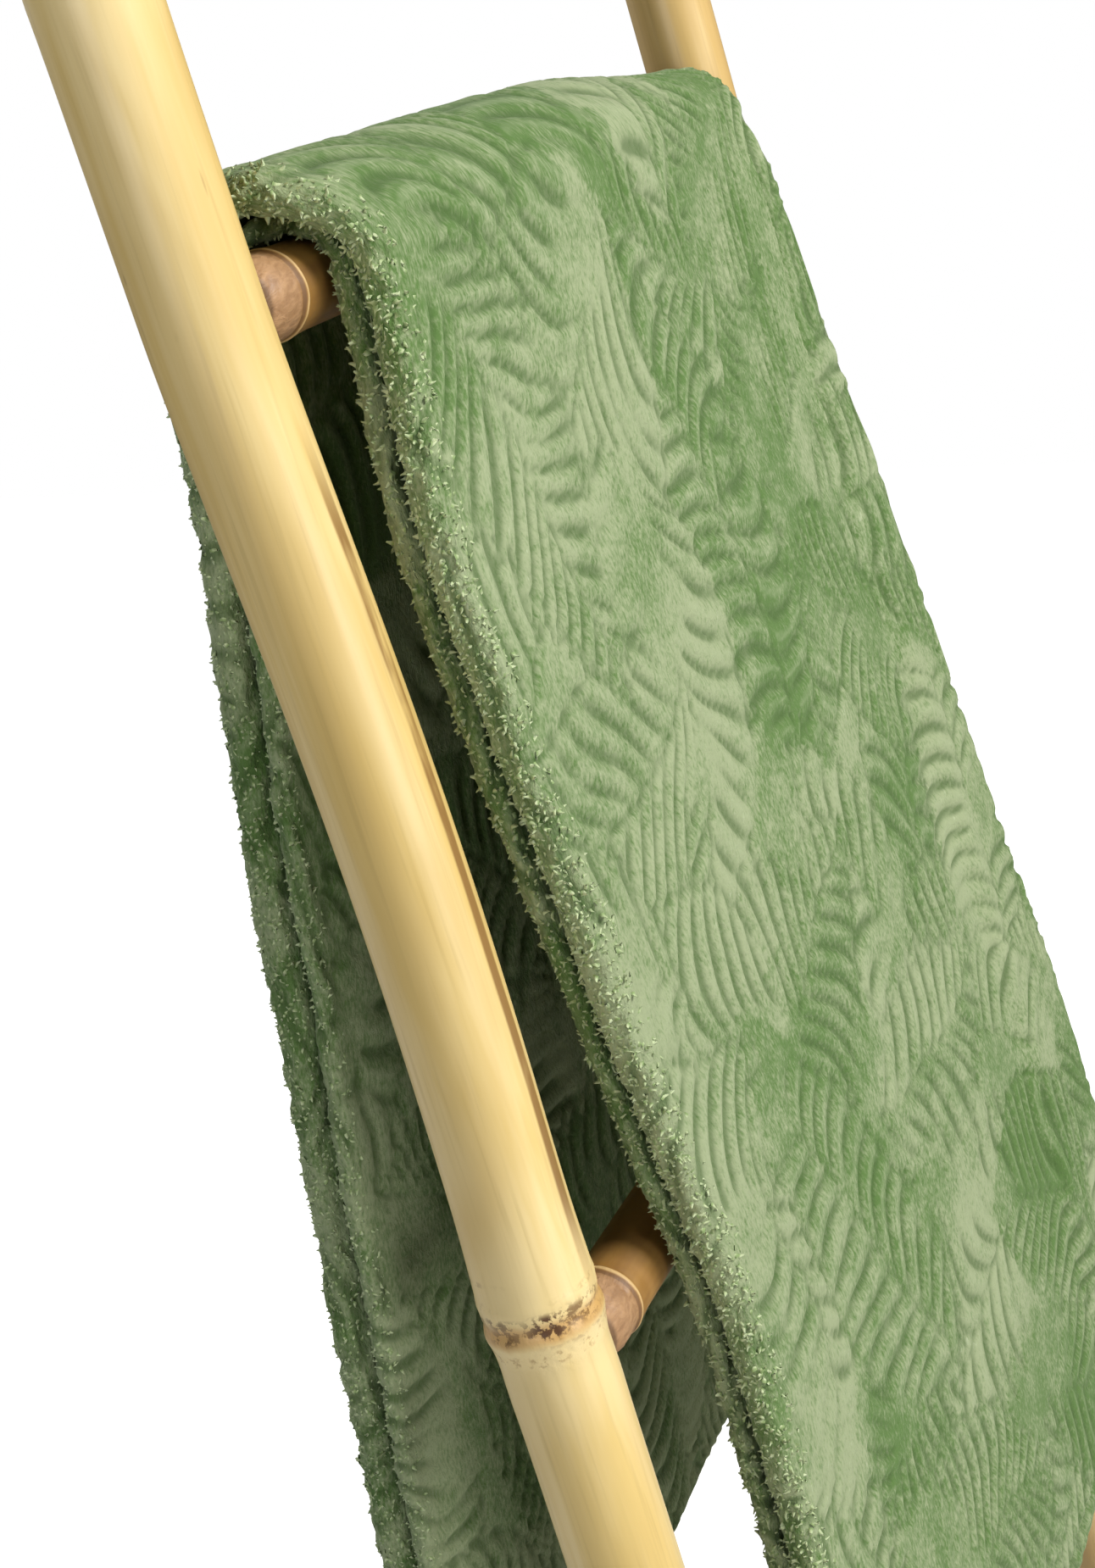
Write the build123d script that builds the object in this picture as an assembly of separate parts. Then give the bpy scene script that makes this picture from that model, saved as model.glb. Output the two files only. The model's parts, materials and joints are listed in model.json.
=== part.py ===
from build123d import *
import os
from math import cos, radians, sin

# A folded plush throw hung over the top rung of a leaning bamboo ladder. All sizes are millimetres.
# X runs along the rungs, +Y points at the wall behind the ladder and +Z is up.
# On the ladder, places are given as x, a distance towards the wall and a height along the rails,
# with the zero where the plane of the rails meets the floor, midway between the two rails.

# ladder
LEAN = 10.5                 # degrees from the vertical, top towards the wall
RAIL_SPACING = 475.0        # between the two rail axes
RAIL_LENGTH = 1805.0
LEFT_RAIL_D = 40.0
RIGHT_RAIL_D = 38.0
RAIL_WALL = 5.5
LEFT_RAIL_NODES = (42.0, 372.0, 826.0, 1298.0, 1778.0)
RIGHT_RAIL_NODES = (60.0, 431.0, 893.0, 1342.0, 1785.0)
NODE_RISE = 1.2             # how far the ring at a node stands out of the culm
NODE_SWELL = 16.0           # half the length over which the culm swells at a node
DIAPHRAGM = 5.0             # thickness of the wood that closes the culm at each node

# rungs, lowest first
RUNG_COUNT = 5
FIRST_RUNG = 150.0
RUNG_STEP = 375.0
RUNG_D = 29.0
RUNG_BORE = 17.0
RUNG_NODES = ((26.0, 318.0), (121.0, 396.0), (24.0, 262.0), (21.0, 345.0), (20.0, 331.0))
RUNG_NODE_SWELL = 8.0
WAIST_D = 25.0              # the shaved neck between the rail and the full culm
WAIST_LENGTH = 10.0
TENON_D = 22.0
TENON_REACH = 12.0          # how far the tenon runs past the rail's axis
SOCKET_CLEARANCE = 0.1      # radial, tenon in rail
PIN_D = 5.0
PIN_CLEARANCE = 0.05        # radial, pin in rail and tenon
PIN_REACH = 12.5            # how far the pin runs past the rail's axis, towards the front

# throw: a 2000 x 1500 cloth folded in four, so its drops are about 500 wide and 25 thick
THROW_THICKNESS = 25.0
SADDLE_LEFT = 32.0          # from the left rail's axis to the cloth on the top rung
SADDLE_WIDTH = 415.0
SEAT_GAP = 0.3              # between the cloth and the rings of the top rung
RAIL_GAP = 0.4              # between the front drop and the front of the right rail
HINGE_GAP = 0.4             # between each drop's round top and the saddle
SADDLE_LEG = 10.0           # straight end of the saddle before each drop
FRONT_LENGTH = 690.0        # each drop, from its fold line to its hem
BACK_LENGTH = 650.0
FRONT_TOP_WIDTH = 420.0
FRONT_HEM_WIDTH = 490.0
FRONT_HEM_SHIFT = 26.0      # how far the hem's left corner has drifted to the right
BACK_INSET = 2.0            # the back drop is this much narrower on the left

tilt = radians(LEAN)
rail_radii = (LEFT_RAIL_D / 2, RIGHT_RAIL_D / 2)
rail_x = (-RAIL_SPACING / 2, RAIL_SPACING / 2)
rung_heights = [FIRST_RUNG + i * RUNG_STEP for i in range(RUNG_COUNT)]
socket_radius = TENON_D / 2 + SOCKET_CLEARANCE
pin_hole_radius = PIN_D / 2 + PIN_CLEARANCE
lean_over = Rot(-LEAN, 0, 0)

# The cloth bends round an arc whose centre lies under the rung's axis. The arc touches the top of
# the rung and clears the front of the right rail, rings included.
seat = RUNG_D / 2 + NODE_RISE + SEAT_GAP
front_clear = rail_radii[1] + NODE_RISE + RAIL_GAP
drape_radius = (front_clear - seat * sin(tilt)) / (1 - sin(tilt))
drape_y = rung_heights[-1] * sin(tilt)
drape_z = rung_heights[-1] * cos(tilt) + seat - drape_radius
middle_radius = drape_radius + THROW_THICKNESS / 2
hinge_drop = SADDLE_LEG + HINGE_GAP + THROW_THICKNESS / 2
saddle_x = rail_x[0] + SADDLE_LEFT

# Directions across and down each drop, as (y, z). The front drop lies along the rails and the
# back drop hangs straight down.
front_out = (-cos(tilt), sin(tilt))
front_down = (-sin(tilt), -cos(tilt))
back_out = (1.0, 0.0)
back_down = (0.0, -1.0)


def place(out, down, away, along):
    """The (y, z) of a point away from the drape's centre along out, and along down."""
    return (
        drape_y + away * out[0] + along * down[0],
        drape_z + away * out[1] + along * down[1],
    )


front_hinge = place(front_out, front_down, middle_radius, hinge_drop)
back_hinge = place(back_out, back_down, middle_radius, hinge_drop)


def culm_outline(radius, foot, top, nodes, swell):
    """Half the culm's long section as (radius, height) pairs, with a double ring at each node."""
    points = [(0, foot), (radius, foot)]
    for node in nodes:
        points.append((radius, node - swell))
        points.append((radius + 0.7 * NODE_RISE, node - 0.35 * swell))
        points.append((radius + 0.15 * NODE_RISE, node - 0.15 * swell))
        points.append((radius + NODE_RISE, node + 0.1 * swell))
        points.append((radius, node + 0.8 * swell))
    points += [(radius, top), (0, top)]
    return points


def revolved(points):
    """A solid of revolution about Z from (radius, height) pairs."""
    face = make_face(Plane.XZ * Polyline(*points, close=True))
    return revolve(face, Axis.Z)


def hollows(radius, start, end, nodes):
    """The round chambers between a culm's diaphragms. The first and last run out of its ends."""
    levels = [start - DIAPHRAGM] + list(nodes) + [end + DIAPHRAGM]
    chambers = []
    for low, high in zip(levels, levels[1:]):
        chamber = Cylinder(radius, high - low - DIAPHRAGM)
        chambers.append(Pos(0, 0, (low + high) / 2) * chamber)
    return chambers


def tenon_end(side):
    """The x of a tenon's blind end, for side 0 on the left or 1 on the right."""
    return rail_x[side] + (-TENON_REACH if side == 0 else TENON_REACH)


def rail(side):
    """A bamboo culm, hollow between its nodes, with sockets for the rungs on its inner face."""
    radius = rail_radii[side]
    nodes = (LEFT_RAIL_NODES, RIGHT_RAIL_NODES)[side]
    foot = -radius
    culm = revolved(culm_outline(radius, foot, RAIL_LENGTH, nodes, NODE_SWELL))
    for chamber in hollows(radius - RAIL_WALL, foot, RAIL_LENGTH, nodes):
        culm -= chamber
    inwards = 1 if side == 0 else -1
    blind = -inwards * (TENON_REACH + SOCKET_CLEARANCE)
    depth = radius + 2 * NODE_RISE - inwards * blind
    for height in rung_heights:
        socket = Pos(blind + inwards * depth / 2, 0, height) * Rot(0, 90, 0)
        culm -= socket * Cylinder(socket_radius, depth)
        hole = Pos(0, radius, height) * Rot(90, 0, 0)
        culm -= hole * Cylinder(pin_hole_radius, 2 * (radius - TENON_D / 2 + 1))
    culm = lean_over * Pos(rail_x[side], 0, 0) * culm
    below_floor = Pos(rail_x[side], 0, -2 * radius) * Box(4 * radius, 4 * radius, 4 * radius)
    return culm - below_floor


def rung(index):
    """A thinner culm with a shaved neck and tenon at each end."""
    start, end = tenon_end(0), tenon_end(1)
    shoulder = [rail_x[0] + rail_radii[0], rail_x[1] - rail_radii[1]]
    nodes = [shoulder[0] + n for n in RUNG_NODES[index]]
    body, neck, tenon = RUNG_D / 2, WAIST_D / 2, TENON_D / 2
    points = [(0, start), (tenon, start), (tenon, shoulder[0] + 1), (neck, shoulder[0] + 2)]
    points += [(neck, shoulder[0] + WAIST_LENGTH - 3), (body, shoulder[0] + WAIST_LENGTH)]
    for node in nodes:
        points.append((body, node - RUNG_NODE_SWELL))
        points.append((body + NODE_RISE, node))
        points.append((body, node + RUNG_NODE_SWELL))
    points += [(body, shoulder[1] - WAIST_LENGTH), (neck, shoulder[1] - WAIST_LENGTH + 3)]
    points += [(neck, shoulder[1] - 2), (tenon, shoulder[1] - 1), (tenon, end), (0, end)]
    culm = revolved(points)
    for chamber in hollows(RUNG_BORE / 2, start, end, nodes):
        culm -= chamber
    culm = Pos(0, 0, rung_heights[index]) * Rot(0, 90, 0) * culm
    for x in rail_x:
        culm -= Pos(x, 0, rung_heights[index]) * Rot(90, 0, 0) * Cylinder(pin_hole_radius, 2 * RUNG_D)
    return lean_over * culm


def pins():
    """One round peg for each joint, driven in from behind and cut flush with the rail."""
    pegs = []
    for x, radius in zip(rail_x, rail_radii):
        length = radius + PIN_REACH
        for height in rung_heights:
            peg = Pos(x, (radius - PIN_REACH) / 2, height) * Rot(90, 0, 0) * Cylinder(PIN_D / 2, length)
            pegs.append(lean_over * peg)
    return Compound(children=pegs)


def yz(x, point):
    """A point in space from an x and a (y, z)."""
    return Vector(x, point[0], point[1])


def saddle():
    """The part of the cloth that bends over the top rung, with a short straight end each side."""
    inner, outer = drape_radius, drape_radius + THROW_THICKNESS
    crown = (front_out[0] + back_out[0], front_out[1] + back_out[1])
    size = (crown[0] ** 2 + crown[1] ** 2) ** 0.5
    crown = (crown[0] / size, crown[1] / size)

    def arc(radius):
        """The bend at one radius, from the front end to the back end."""
        return ThreePointArc(
            yz(saddle_x, place(front_out, front_down, radius, 0)),
            yz(saddle_x, place(crown, back_down, radius, 0)),
            yz(saddle_x, place(back_out, back_down, radius, 0)),
        )

    def leg(out, down, radius):
        """One straight side of a leg."""
        return Line(
            yz(saddle_x, place(out, down, radius, 0)),
            yz(saddle_x, place(out, down, radius, SADDLE_LEG)),
        )

    def tip(out, down):
        """The flat end of a leg, across the cloth."""
        return Line(
            yz(saddle_x, place(out, down, inner, SADDLE_LEG)),
            yz(saddle_x, place(out, down, outer, SADDLE_LEG)),
        )

    edges = [arc(inner), arc(outer), tip(front_out, front_down), tip(back_out, back_down)]
    edges += [leg(front_out, front_down, r) for r in (inner, outer)]
    edges += [leg(back_out, back_down, r) for r in (inner, outer)]
    return extrude(make_face(edges), amount=SADDLE_WIDTH, dir=(1, 0, 0))


def drop(hinge, out, down, corners):
    """One hanging side. corners are (x, distance down), from its top left, and it hangs from a
    round top about its fold line."""
    normal = Vector(0, out[0], out[1])
    half = THROW_THICKNESS / 2
    start = Vector(0, hinge[0], hinge[1]) - normal * half
    points = [start + Vector(x, down[0] * d, down[1] * d) for x, d in corners]
    slab = extrude(make_face(Polyline(*points, close=True)), amount=THROW_THICKNESS, dir=normal)
    left, right = corners[0][0], corners[-1][0]
    roll = Cylinder(half, right - left)
    return slab + Pos((left + right) / 2, hinge[0], hinge[1]) * Rot(0, 90, 0) * roll


def front_drop():
    """The drop that lies along the front of the ladder and fans out over the right rail."""
    hem_left = saddle_x + FRONT_HEM_SHIFT
    corners = [
        (saddle_x, 0),
        (hem_left, FRONT_LENGTH),
        (hem_left + FRONT_HEM_WIDTH, FRONT_LENGTH),
        (saddle_x + FRONT_TOP_WIDTH, 0),
    ]
    return drop(front_hinge, front_out, front_down, corners)


def back_drop():
    """The drop that hangs straight down between the rails and the wall."""
    left, right = saddle_x + BACK_INSET, saddle_x + SADDLE_WIDTH
    corners = [(left, 0), (left, BACK_LENGTH), (right, BACK_LENGTH), (right, 0)]
    return drop(back_hinge, back_out, back_down, corners)


parts = {"rail_left": rail(0), "rail_right": rail(1), "rung_pins": pins()}
for number in range(RUNG_COUNT):
    parts[f"rung_{number + 1}"] = rung(number)
parts["throw_saddle"] = saddle()
parts["throw_front_drop"] = front_drop()
parts["throw_back_drop"] = back_drop()

# The origin is on the floor, under the middle of the whole object's box.
boxes = [shape.bounding_box() for shape in parts.values()]
low = [min(getattr(b.min, axis) for b in boxes) for axis in "XYZ"]
high = [max(getattr(b.max, axis) for b in boxes) for axis in "XYZ"]
to_origin = Pos(-(low[0] + high[0]) / 2, -(low[1] + high[1]) / 2, -low[2])

os.makedirs("parts", exist_ok=True)
for name, shape in parts.items():
    export_step(to_origin * shape, f"parts/{name}.step")

print("box", [round(h - l, 2) for l, h in zip(low, high)])
shift = to_origin.position
print("shift", round(shift.X, 3), round(shift.Y, 3), round(shift.Z, 3))
for label, point in (("front", front_hinge), ("back", back_hinge)):
    print(label, "fold line at", round(point[0] + shift.Y, 3), round(point[1] + shift.Z, 3))
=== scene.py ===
import json
from math import atan2, cos, pi, radians, sin, tan

import bmesh
import bpy
import numpy as np
from mathutils import Matrix, Vector


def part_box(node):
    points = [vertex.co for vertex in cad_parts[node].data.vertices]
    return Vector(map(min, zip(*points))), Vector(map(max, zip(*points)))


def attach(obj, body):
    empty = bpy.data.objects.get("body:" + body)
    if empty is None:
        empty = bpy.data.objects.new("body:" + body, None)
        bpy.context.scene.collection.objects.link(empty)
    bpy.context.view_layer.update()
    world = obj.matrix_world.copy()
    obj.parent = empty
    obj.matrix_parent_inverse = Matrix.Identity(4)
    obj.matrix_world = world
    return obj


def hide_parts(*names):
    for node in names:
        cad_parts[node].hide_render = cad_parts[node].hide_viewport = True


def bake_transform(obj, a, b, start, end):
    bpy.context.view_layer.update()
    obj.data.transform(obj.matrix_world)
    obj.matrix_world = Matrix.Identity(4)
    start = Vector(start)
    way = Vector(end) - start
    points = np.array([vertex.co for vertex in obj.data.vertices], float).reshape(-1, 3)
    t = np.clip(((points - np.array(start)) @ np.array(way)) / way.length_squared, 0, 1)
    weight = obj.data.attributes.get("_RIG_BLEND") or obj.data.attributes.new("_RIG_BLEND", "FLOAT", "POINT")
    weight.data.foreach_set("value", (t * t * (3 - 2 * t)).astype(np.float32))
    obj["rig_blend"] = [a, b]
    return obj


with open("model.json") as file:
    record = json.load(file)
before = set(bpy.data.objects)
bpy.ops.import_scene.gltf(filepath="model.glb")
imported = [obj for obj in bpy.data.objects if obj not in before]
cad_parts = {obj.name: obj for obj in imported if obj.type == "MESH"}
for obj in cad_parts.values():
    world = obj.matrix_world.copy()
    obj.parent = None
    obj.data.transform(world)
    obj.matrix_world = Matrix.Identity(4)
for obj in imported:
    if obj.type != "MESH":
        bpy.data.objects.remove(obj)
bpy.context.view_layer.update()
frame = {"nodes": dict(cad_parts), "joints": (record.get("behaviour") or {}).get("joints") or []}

# The ladder's own directions. Up runs along the rails, out points away from the wall, square to
# the plane of the rails, and every height is measured along a rail from the floor.
MM = 0.001
rung_ends = [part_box("rung_1"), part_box("rung_5")]
bottom_rung, top_rung = [(low + high) / 2 for low, high in rung_ends]
lean = atan2(top_rung.y - bottom_rung.y, top_rung.z - bottom_rung.z)
left_x, right_x = [sum(corner.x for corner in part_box(n)) / 2 for n in ("rail_left", "rail_right")]
up = np.array([0, sin(lean), cos(lean)])
out = np.array([0, -cos(lean), sin(lean)])
across = np.array([1.0, 0, 0])
foot_y = top_rung.y - top_rung.z * tan(lean)
top_height = top_rung.z / cos(lean)
rung_step = (top_rung - bottom_rung).length / 4


def on_ladder(x, forward, height):
    """Points at x, forward of the plane of the rails and at a height along them."""
    x, forward, height = np.broadcast_arrays(x, forward, height)
    base = np.array([0, foot_y, 0])
    return base + x[..., None] * across + forward[..., None] * out + height[..., None] * up


# The view and the light. A standing person looks down past the left rail, and a big soft lamp in
# front of the ladder lights the cloth, so the drop behind it lies in its shade.
EYE = Vector((-0.6299, -0.3865, 0.1045))     # from the joint of the top rung and the left rail
HEADING, PITCH, ROLL = radians(65.053), radians(20.113), radians(7.818)
FOCAL = 54.49

joint = Vector((left_x, top_rung.y, top_rung.z))
gaze = Vector((sin(HEADING) * cos(PITCH), cos(HEADING) * cos(PITCH), -sin(PITCH)))
level = Vector((cos(HEADING), -sin(HEADING), 0))
down = gaze.cross(level)
to_right = cos(ROLL) * level + sin(ROLL) * down
to_top = sin(ROLL) * level - cos(ROLL) * down
camera_data = bpy.data.cameras.new("camera")
camera_data.lens = FOCAL
camera_data.sensor_width = 36
camera = bpy.data.objects.new("camera", camera_data)
turn = Matrix((to_right, to_top, -gaze)).transposed().to_4x4()
camera.matrix_world = Matrix.Translation(joint + EYE) @ turn
bpy.context.scene.collection.objects.link(camera)
bpy.context.scene.camera = camera


def lamp(name, place, target, size, watts, colour):
    """A square area lamp at place that faces target."""
    data = bpy.data.lights.new(name, "AREA")
    data.size, data.energy, data.color = size, watts, colour
    light = bpy.data.objects.new(name, data)
    light.location = place
    light.rotation_euler = (Vector(target) - Vector(place)).to_track_quat("-Z", "Y").to_euler()
    bpy.context.scene.collection.objects.link(light)


lamp("key", (0.2, -2.3, 3.4), (0, 0, 1.2), 1.3, 132, (1, 0.985, 0.96))
lamp("front", (-0.8, -2.5, 1.45), (-0.2, 0, 1.4), 0.8, 15, (1, 0.99, 0.97))
lamp("fill_left", (-2.9, 0.15, 2.2), (0, 0, 1.3), 1.2, 27, (0.97, 0.985, 1))
lamp("fill_behind", (1.2, 2.8, 2.6), (0, 0, 1.1), 2.0, 46, (1, 0.99, 0.97))

# The studio's walls are white to the camera and give little light of their own. The floor does the
# same, and more so away from the ladder, so its shadows stay and the ground runs into the walls.
WALL_LIGHT, WALL_SEEN = 0.075, 1.0
FLOOR_GLOW = (("From Min", 0.4), ("From Max", 2.6), ("To Min", 0.30), ("To Max", 0.95))

world = bpy.data.worlds.new("studio")
bpy.context.scene.world = world
world.use_nodes = True
sky = world.node_tree.nodes["Background"]
sky.inputs["Color"].default_value = (1, 1, 1, 1)
seen = world.node_tree.nodes.new("ShaderNodeLightPath")
level_light = world.node_tree.nodes.new("ShaderNodeMapRange")
level_light.inputs["To Min"].default_value = WALL_LIGHT
level_light.inputs["To Max"].default_value = WALL_SEEN
world.node_tree.links.new(seen.outputs["Is Camera Ray"], level_light.inputs["Value"])
world.node_tree.links.new(level_light.outputs[0], sky.inputs["Strength"])
bpy.context.scene.view_settings.view_transform = "Standard"


def mesh_object(name, points, faces, smooth=True):
    """A mesh object at the origin from arrays of points and of faces."""
    mesh = bpy.data.meshes.new(name)
    mesh.from_pydata([tuple(p) for p in np.asarray(points, float)], [], faces)
    mesh.update()
    mesh.polygons.foreach_set("use_smooth", [smooth] * len(mesh.polygons))
    piece = bpy.data.objects.new(name, mesh)
    bpy.context.scene.collection.objects.link(piece)
    return piece


def new_material(name):
    """A material with its Principled shader, and the tree and shader to build on."""
    material = bpy.data.materials.new(name)
    material.use_nodes = True
    return material, material.node_tree, material.node_tree.nodes["Principled BSDF"]


floor = mesh_object("floor", [(-6, -6, 0), (6, -6, 0), (6, 6, 0), (-6, 6, 0)], [(0, 1, 2, 3)])
floor_material, floor_tree, floor_shader = new_material("pale_floor")
floor_shader.inputs["Base Color"].default_value = (0.72, 0.72, 0.71, 1)
floor_shader.inputs["Roughness"].default_value = 0.7
floor_shader.inputs["Emission Color"].default_value = (1, 1, 1, 1)
seen_floor = floor_tree.nodes.new("ShaderNodeLightPath")
from_ladder = floor_tree.nodes.new("ShaderNodeVectorMath")
from_ladder.operation = "LENGTH"
floor_place = floor_tree.nodes.new("ShaderNodeTexCoord")
floor_tree.links.new(floor_place.outputs["Object"], from_ladder.inputs[0])
fade = floor_tree.nodes.new("ShaderNodeMapRange")
for key, value in FLOOR_GLOW:
    fade.inputs[key].default_value = value
floor_tree.links.new(from_ladder.outputs["Value"], fade.inputs["Value"])
glow = floor_tree.nodes.new("ShaderNodeMath")
glow.operation = "MULTIPLY"
floor_tree.links.new(seen_floor.outputs["Is Camera Ray"], glow.inputs[0])
floor_tree.links.new(fade.outputs[0], glow.inputs[1])
floor_tree.links.new(glow.outputs[0], floor_shader.inputs["Emission Strength"])
floor.data.materials.append(floor_material)


# The two rails: whole culms of pale bamboo, cut level at the floor and square at the top. A culm
# swells at each node, where the old leaf sheath left a ring, a dark scar and a fringe of root dots.
# Drying has bent them a little, and they were set straight again where the rungs go in.
RAIL_WALL = 5.5 * MM
RAIL_LENGTH = 1805 * MM
RAILS = {
    "rail_left": (left_x, 20.0 * MM, (42, 372, 826, 1298, 1778), (4.5, -2.0, 2.5, -3.0)),
    "rail_right": (right_x, 19.0 * MM, (60, 431, 893, 1342, 1785), (0.0, 0.0, 2.0, -2.5)),
}
ROUND = 72


def swelling(t, size):
    """How far a culm stands out of its own radius at t metres above a node."""
    swell = 1.3 * np.exp(-(((t - 4 * MM) / (26 * MM)) ** 2))
    scar = 0.8 * np.exp(-(((t + 2 * MM) / (3.0 * MM)) ** 2))
    sheath = 0.35 * np.exp(-(((t - 11 * MM) / (2.2 * MM)) ** 2))
    groove = -0.55 * np.exp(-(((t - 3.5 * MM) / (1.6 * MM)) ** 2))
    waist = -0.75 * np.exp(-(((t + 13 * MM) / (9 * MM)) ** 2))
    return size * MM * (swell + scar + sheath + groove + waist)


def fringe(t, angle, seed):
    """The row of root dots just under a node's scar, as a height in metres."""
    count = 58 + seed % 7
    dots = np.maximum(0, np.sin(count * angle / 2 + 2.1 * np.sin(3 * angle + seed))) ** 2
    band = np.exp(-(((t + 7.5 * MM) / (2.6 * MM)) ** 2))
    return 0.45 * MM * dots * band


def levels(start, end, nodes, coarse, fine, reach):
    """Steps from start to end, fine within reach of a node and coarse elsewhere."""
    heights, height = [], start
    while height < end - 0.6 * fine:
        heights.append(height)
        near = min(abs(height - n) for n in nodes)
        height += fine if near < reach else min(coarse, max(fine, near - reach + fine))
    return np.array(heights + [end])


def unevenness(angle, height, seed):
    """The slow lumps and flats of a grown culm, from -1 to 1."""
    lumps = np.sin(2 * angle + seed + 2.1 * height) + 0.6 * np.sin(3 * angle - 1.7 * height + seed)
    return (lumps + 0.7 * np.sin(angle + 9 * height + 2 * seed)) / 2.3


def climb(place, nodes):
    """A number that is 120 times a node's count plus the millimetres past it, near each node, and
    halfway between two such numbers elsewhere. A material wraps it back to millimetres."""
    from_nodes = np.clip((place[..., None] - np.array(nodes)) / MM, -60, 60)
    return from_nodes.sum(-1) + 60 * (len(nodes) - 1)


def set_uv(piece, uv):
    """Gives each corner of the piece's faces the (u, v) of its point."""
    layer = piece.data.uv_layers.new(name="UVMap")
    index = np.empty(len(piece.data.loops), int)
    piece.data.loops.foreach_get("vertex_index", index)
    layer.data.foreach_set("uv", np.asarray(uv, np.float32)[index].ravel())


def set_value(piece, name, values):
    """A float on each point, which a material reads by name."""
    attribute = piece.data.attributes.new(name, "FLOAT", "POINT")
    attribute.data.foreach_set("value", np.asarray(values, np.float32).ravel())


def capped_tube(name, grid, uv, values):
    """A closed piece from rings of points, with a point in the middle of each end. values are
    floats for each point of the grid, by name, and an end's middle takes its ring's mean."""
    rows, columns = grid.shape[:2]
    index = np.arange(rows * columns).reshape(rows, columns)
    turned = np.roll(index, -1, axis=1)
    faces = np.stack([index[:-1], turned[:-1], turned[1:], index[1:]], axis=-1)
    faces = faces.reshape(-1, 4).tolist()
    count = rows * columns
    faces += [(count, b, a) for a, b in zip(index[0], turned[0])]
    faces += [(count + 1, a, b) for a, b in zip(index[-1], turned[-1])]

    def with_tips(field):
        flat = field.reshape(count, -1)
        return np.concatenate([flat, field[0].reshape(columns, -1).mean(0)[None],
                               field[-1].reshape(columns, -1).mean(0)[None]])

    piece = mesh_object(name, with_tips(grid), faces)
    set_uv(piece, with_tips(uv))
    for key, field in values.items():
        set_value(piece, key, with_tips(field))
    return piece


def rail(name, seed):
    """A culm's skin, with its cut ends and the wall and diaphragm that are seen in them."""
    axis_x, radius, nodes, bows = RAILS[name]
    nodes = [n * MM for n in nodes]
    angle = np.linspace(0, 2 * pi, ROUND, endpoint=False)[None]
    height = levels(0, RAIL_LENGTH, nodes, 9 * MM, 1.1 * MM, 22 * MM)[:, None]
    level_cut = np.clip(1 - height / (60 * MM), 0, 1)
    height = height + level_cut * radius * np.sin(angle) * tan(lean)
    node_gap = climb(height, nodes)
    skin = radius + 0.28 * MM * unevenness(angle, height, seed)
    for i, n in enumerate(nodes):
        skin = skin + swelling(height - n, 1.0 + 0.12 * sin(3 * i + seed))
        skin = skin + fringe(height - n, angle, seed + 2 * i)
    bow = np.zeros_like(height)
    for i, depth in enumerate(bows):
        share = np.clip((height - top_height) / rung_step + i + 1, 0, 1)
        bow = bow + depth * MM * np.sin(pi * share) ** 1.4

    def ring(radius_now, heights, bend):
        """Points at a radius from the bent axis."""
        x = axis_x + radius_now * np.cos(angle) + 0.25 * bend
        return on_ladder(x, bend - radius_now * np.sin(angle), heights)

    grid = [ring(skin, height, bow)]
    for edge, inwards in ((0, 1), (-1, -1)):
        rim, bend = height[edge][None], bow[edge][None]
        stop = np.full_like(rim, nodes[edge] - inwards * 2.5 * MM)
        inner = radius - RAIL_WALL
        rings = [ring(inner, rim, bend), ring(inner - 0.5 * MM, rim + inwards * 1.5 * MM, bend),
                 ring(inner - 0.8 * MM, stop, bend), ring(0.4 * inner, stop, bend)]
        grid = rings[::-1] + grid if edge == 0 else grid + rings
    grid = np.concatenate(grid)
    pad = ((4, 4), (0, 0))
    along = np.pad(height, pad, mode="edge")
    uv = np.stack([np.broadcast_to(angle / (2 * pi), along.shape), along], -1)
    values = {
        "node_gap": np.pad(node_gap, pad, constant_values=60.0),
        "cut_end": np.pad(np.zeros_like(height), pad, constant_values=1.0),
    }
    return capped_tube(name + "_culm", grid, uv, values)


def feed(tree, value, socket):
    """Links a socket to another, or sets it to a number or a colour."""
    if isinstance(value, bpy.types.NodeSocket):
        tree.links.new(value, socket)
    elif socket.type == "RGBA":
        socket.default_value = (*value, 1)
    else:
        socket.default_value = value


def mix(tree, factor, a, b, blend="MIX"):
    """A colour mix of a and b. Each may be a colour or a socket, and factor a number or a socket."""
    made = tree.nodes.new("ShaderNodeMix")
    made.data_type, made.blend_type = "RGBA", blend
    for socket, value in ((made.inputs[0], factor), (made.inputs[6], a), (made.inputs[7], b)):
        feed(tree, value, socket)
    return made.outputs[2]


def maths(tree, operation, a, b=0.0, c=0.0):
    """A Math node on numbers or sockets."""
    made = tree.nodes.new("ShaderNodeMath")
    made.operation = operation
    for socket, value in zip(made.inputs, (a, b, c)):
        feed(tree, value, socket)
    return made.outputs[0]


def ramp(tree, value, low, high, start=0.0, end=1.0):
    """value taken smoothly from low..high to start..end."""
    made = tree.nodes.new("ShaderNodeMapRange")
    made.interpolation_type = "SMOOTHSTEP"
    tree.links.new(value, made.inputs["Value"])
    for key, number in (("From Min", low), ("From Max", high), ("To Min", start), ("To Max", end)):
        made.inputs[key].default_value = number
    return made.outputs[0]


def band(tree, value, middle, half, soft):
    """1 where value is within half of middle, falling to 0 over soft."""
    away = maths(tree, "ABSOLUTE", maths(tree, "SUBTRACT", value, middle))
    return ramp(tree, away, half, half + soft, 1.0, 0.0)


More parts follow.
